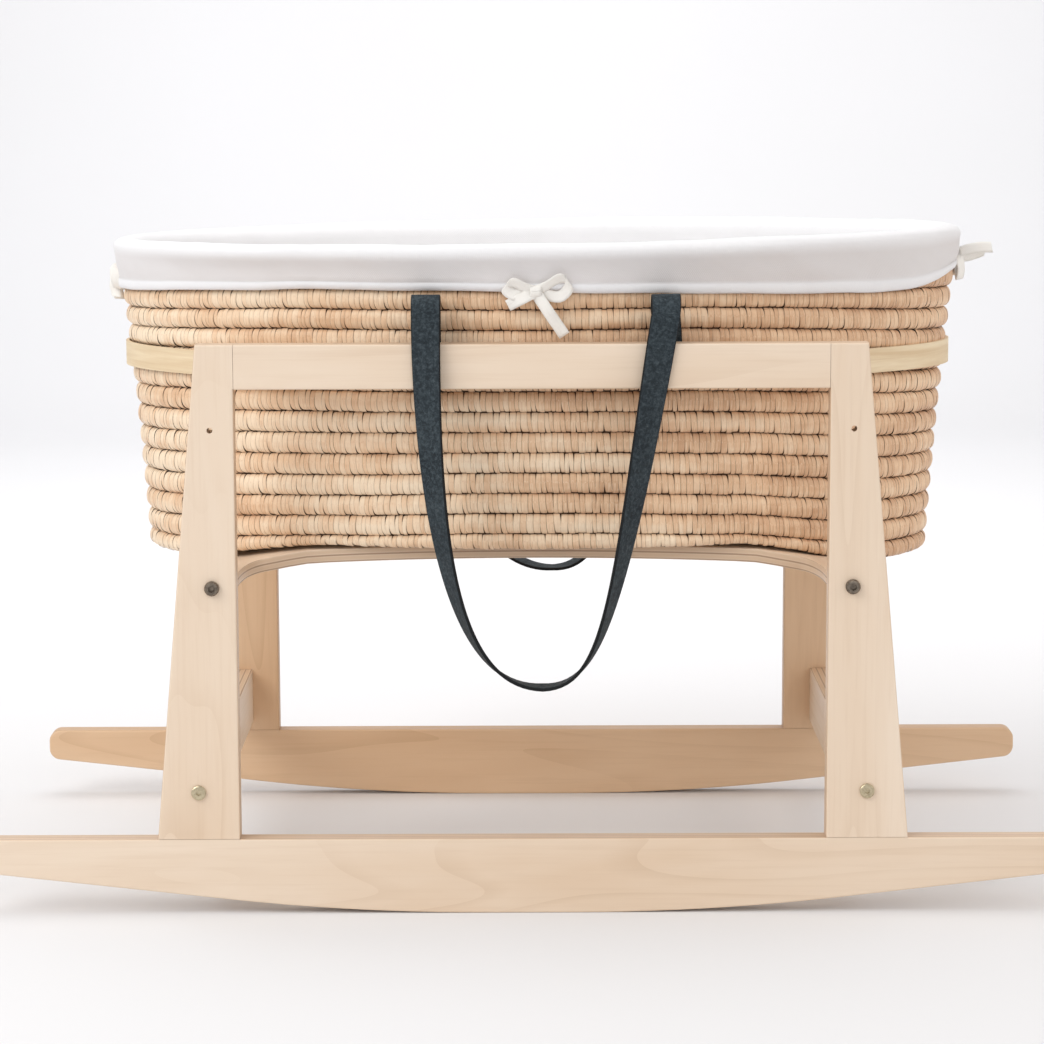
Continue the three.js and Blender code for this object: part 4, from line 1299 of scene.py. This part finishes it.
# A ribbon of tape through the given spots
def tapeRibbon(spots, steps):
    route = [Vector([place * 0.001 for place in spot[:3]]) for spot in spots]
    tilts = [Vector(spot[3:]) for spot in spots]
    lastSpot = len(spots) - 1
    points, uv = [], []
    run = 0.0
    last = None
    for i in range(steps + 1):
        t = i / steps * lastSpot
        k = min(int(t), lastSpot - 1)
        near = [max(min(k + step, lastSpot), 0) for step in (-1, 0, 1, 2)]
        middle, across = (curveBetween([line[n] for n in near], t - k) for line in (route, tilts))
        if last is not None:
            run += (middle - last).length
        last = middle
        across = across.normalized()
        for share in bowForm["acrossTape"]:
            points.append(middle + across * bowForm["tape"] * share)
            uv.append((run, bowForm["tape"] * share))
    return points, gridFaces(steps + 1, len(bowForm["acrossTape"]), closed=False), uv, run


def makeBow(name, ribbons, place, turnZ):
    points, faces, uv, total = [], [], [], 0.0
    for spots, steps in ribbons:
        ribbonPoints, ribbonFaces, ribbonUv, run = tapeRibbon(spots, steps)
        faces += [tuple(len(points) + i for i in face) for face in ribbonFaces]
        points += ribbonPoints
        uv += ribbonUv
        total += run
    turn = Matrix.Rotation(turnZ, 3, "Z")
    points = [Vector(place) + turn @ Vector((p.x, -p.z, p.y)) for p in points]
    bow = meshPiece(name, points, faces)
    uvFromPoints(bow, "cloth", uv)
    applyModifier(bow, "SOLIDIFY", thickness=bowForm["cloth"], offset=0.0)
    bow.data.materials.append(finishes["tape"])
    return bow, total


# Where a bow's knot sits on the liner, and how far it is turned from facing the front
def bowPlace(name):
    low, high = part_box(f"{name}_bow")
    out = halfSizes(0.549)[1] + 0.0040
    return {
        "front": ((0.0030, -out, 0.5455), 0.0),
        "rear": ((0.004, out, 0.5455), math.pi),
        "foot": ((low.x + 0.0118, 0.001, 0.5495), -math.pi / 2),
        "head": ((high.x - 0.0060, -0.001, 0.5640), math.pi / 2),
    }[name]


for name, form in bows.items():
    ribbons = [(loopSpots(*loop), bowForm["loopSteps"]) for loop in form.get("loops", [])]
    ribbons += [(tailSpots(*tail), bowForm["tailSteps"]) for tail in form.get("tails", [])]
    ribbons += [(route, bowForm["routeSteps"]) for route in form.get("routes", [])]
    ribbons.append((knotSpots(), bowForm["routeSteps"]))
    bow, total = makeBow(f"{name}_tape_bow", ribbons, *bowPlace(name))
    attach(bow, "basket")
    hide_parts(f"{name}_bow")
print("bows made")

mattress.data.materials.clear()
mattress.data.materials.append(finishes["ticking"])
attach(mattress, "mattress")
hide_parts("mattress")


studio = {
    "floorSize": 14.0,
    "backdrop": 3.4,         # how far behind the middle the floor starts to curve up
    "curve": 1.6,
    "wall": 5.0,
    "floorPale": (0.775, 0.77, 0.78),
    "floorDeep": (0.76, 0.755, 0.76),
    "air": (0.97, 0.98, 1.0, 1),
    "airPower": 0.58,
}
lights = {
    "window": {
        "spot": (-2.6, -1.9, 2.6), "aim": (0, 0, 0.35), "size": (2.6, 2.6),
        "power": 70, "colour": (1.0, 0.985, 0.965),
    },
    "front": {
        "spot": (0.8, -4.2, 2.2), "aim": (0, 0, 0.3), "size": (3.4, 2.4),
        "power": 21, "colour": (1.0, 0.99, 0.98),
    },
    "warm": {
        "spot": (3.0, -0.6, 1.8), "aim": (0, 0, 0.3), "size": (2.4, 2.4),
        "power": 26, "colour": (1.0, 0.90, 0.80),
    },
    "top": {
        "spot": (-0.3, 0.6, 3.4), "aim": (0, 0, 0.3), "size": (3.4, 3.0),
        "power": 47, "colour": (0.98, 0.99, 1.0),
    },
    "back": {
        "spot": (0.0, 1.2, 3.4), "aim": (0, 4.8, 2.2), "size": (4.5, 1.4),
        "power": 104, "colour": (0.99, 0.99, 1.0),
    },
}


def floorPaint():
    finish = Finish("studio_floor")
    cloud = finish.noise(finish.place(), 1.2, 2)
    colour = finish.tint(studio["floorPale"], studio["floorDeep"], cloud, 0.3, 0.7)
    return finish.finish(colour, 0.8)


# A floor that curves up into a backdrop
def makeFloor():
    deselectAll()
    backdrop, curve, floorSize = (studio[k] for k in ("backdrop", "curve", "floorSize"))
    bpy.ops.mesh.primitive_plane_add(size=floorSize, location=(0, backdrop - floorSize / 2, 0))
    floor = bpy.context.active_object
    bpy.ops.object.transform_apply(location=True)
    bpy.ops.object.mode_set(mode="EDIT")
    bpy.ops.mesh.select_mode(type="EDGE")
    form = bmesh.from_edit_mesh(floor.data)
    for edge in form.edges:
        edge.select_set(all(point.co.y > backdrop - 0.01 for point in edge.verts))
    bmesh.update_edit_mesh(floor.data)
    bpy.ops.mesh.spin(
        steps=18, angle=math.radians(-90), axis=(1, 0, 0),
        center=(0, backdrop, curve), use_normal_flip=False,
    )
    bpy.ops.mesh.extrude_edges_move(TRANSFORM_OT_translate={"value": (0, 0, studio["wall"])})
    bpy.ops.mesh.select_all(action="SELECT")
    bpy.ops.mesh.normals_make_consistent(inside=True)
    bpy.ops.object.mode_set(mode="OBJECT")
    bpy.ops.object.shade_smooth()
    floor.name = "studio_floor"
    floor.data.materials.append(floorPaint())


makeFloor()

for name, light in lights.items():
    data = bpy.data.lights.new(name, "AREA")
    data.shape = "RECTANGLE"
    data.size, data.size_y = light["size"]
    data.energy = light["power"]
    data.color = light["colour"]
    lamp = bpy.data.objects.new(name, data)
    lamp.location = light["spot"]
    aim = Vector(light["aim"]) - Vector(light["spot"])
    lamp.rotation_euler = aim.to_track_quat("-Z", "Y").to_euler()
    bpy.context.scene.collection.objects.link(lamp)

world = bpy.data.worlds.new("studio_air")
world.use_nodes = True
air = world.node_tree.nodes["Background"]
air.inputs["Color"].default_value = studio["air"]
air.inputs["Strength"].default_value = studio["airPower"]
bpy.context.scene.world = world
bpy.context.scene.view_settings.view_transform = "Standard"
print("floor and light set")
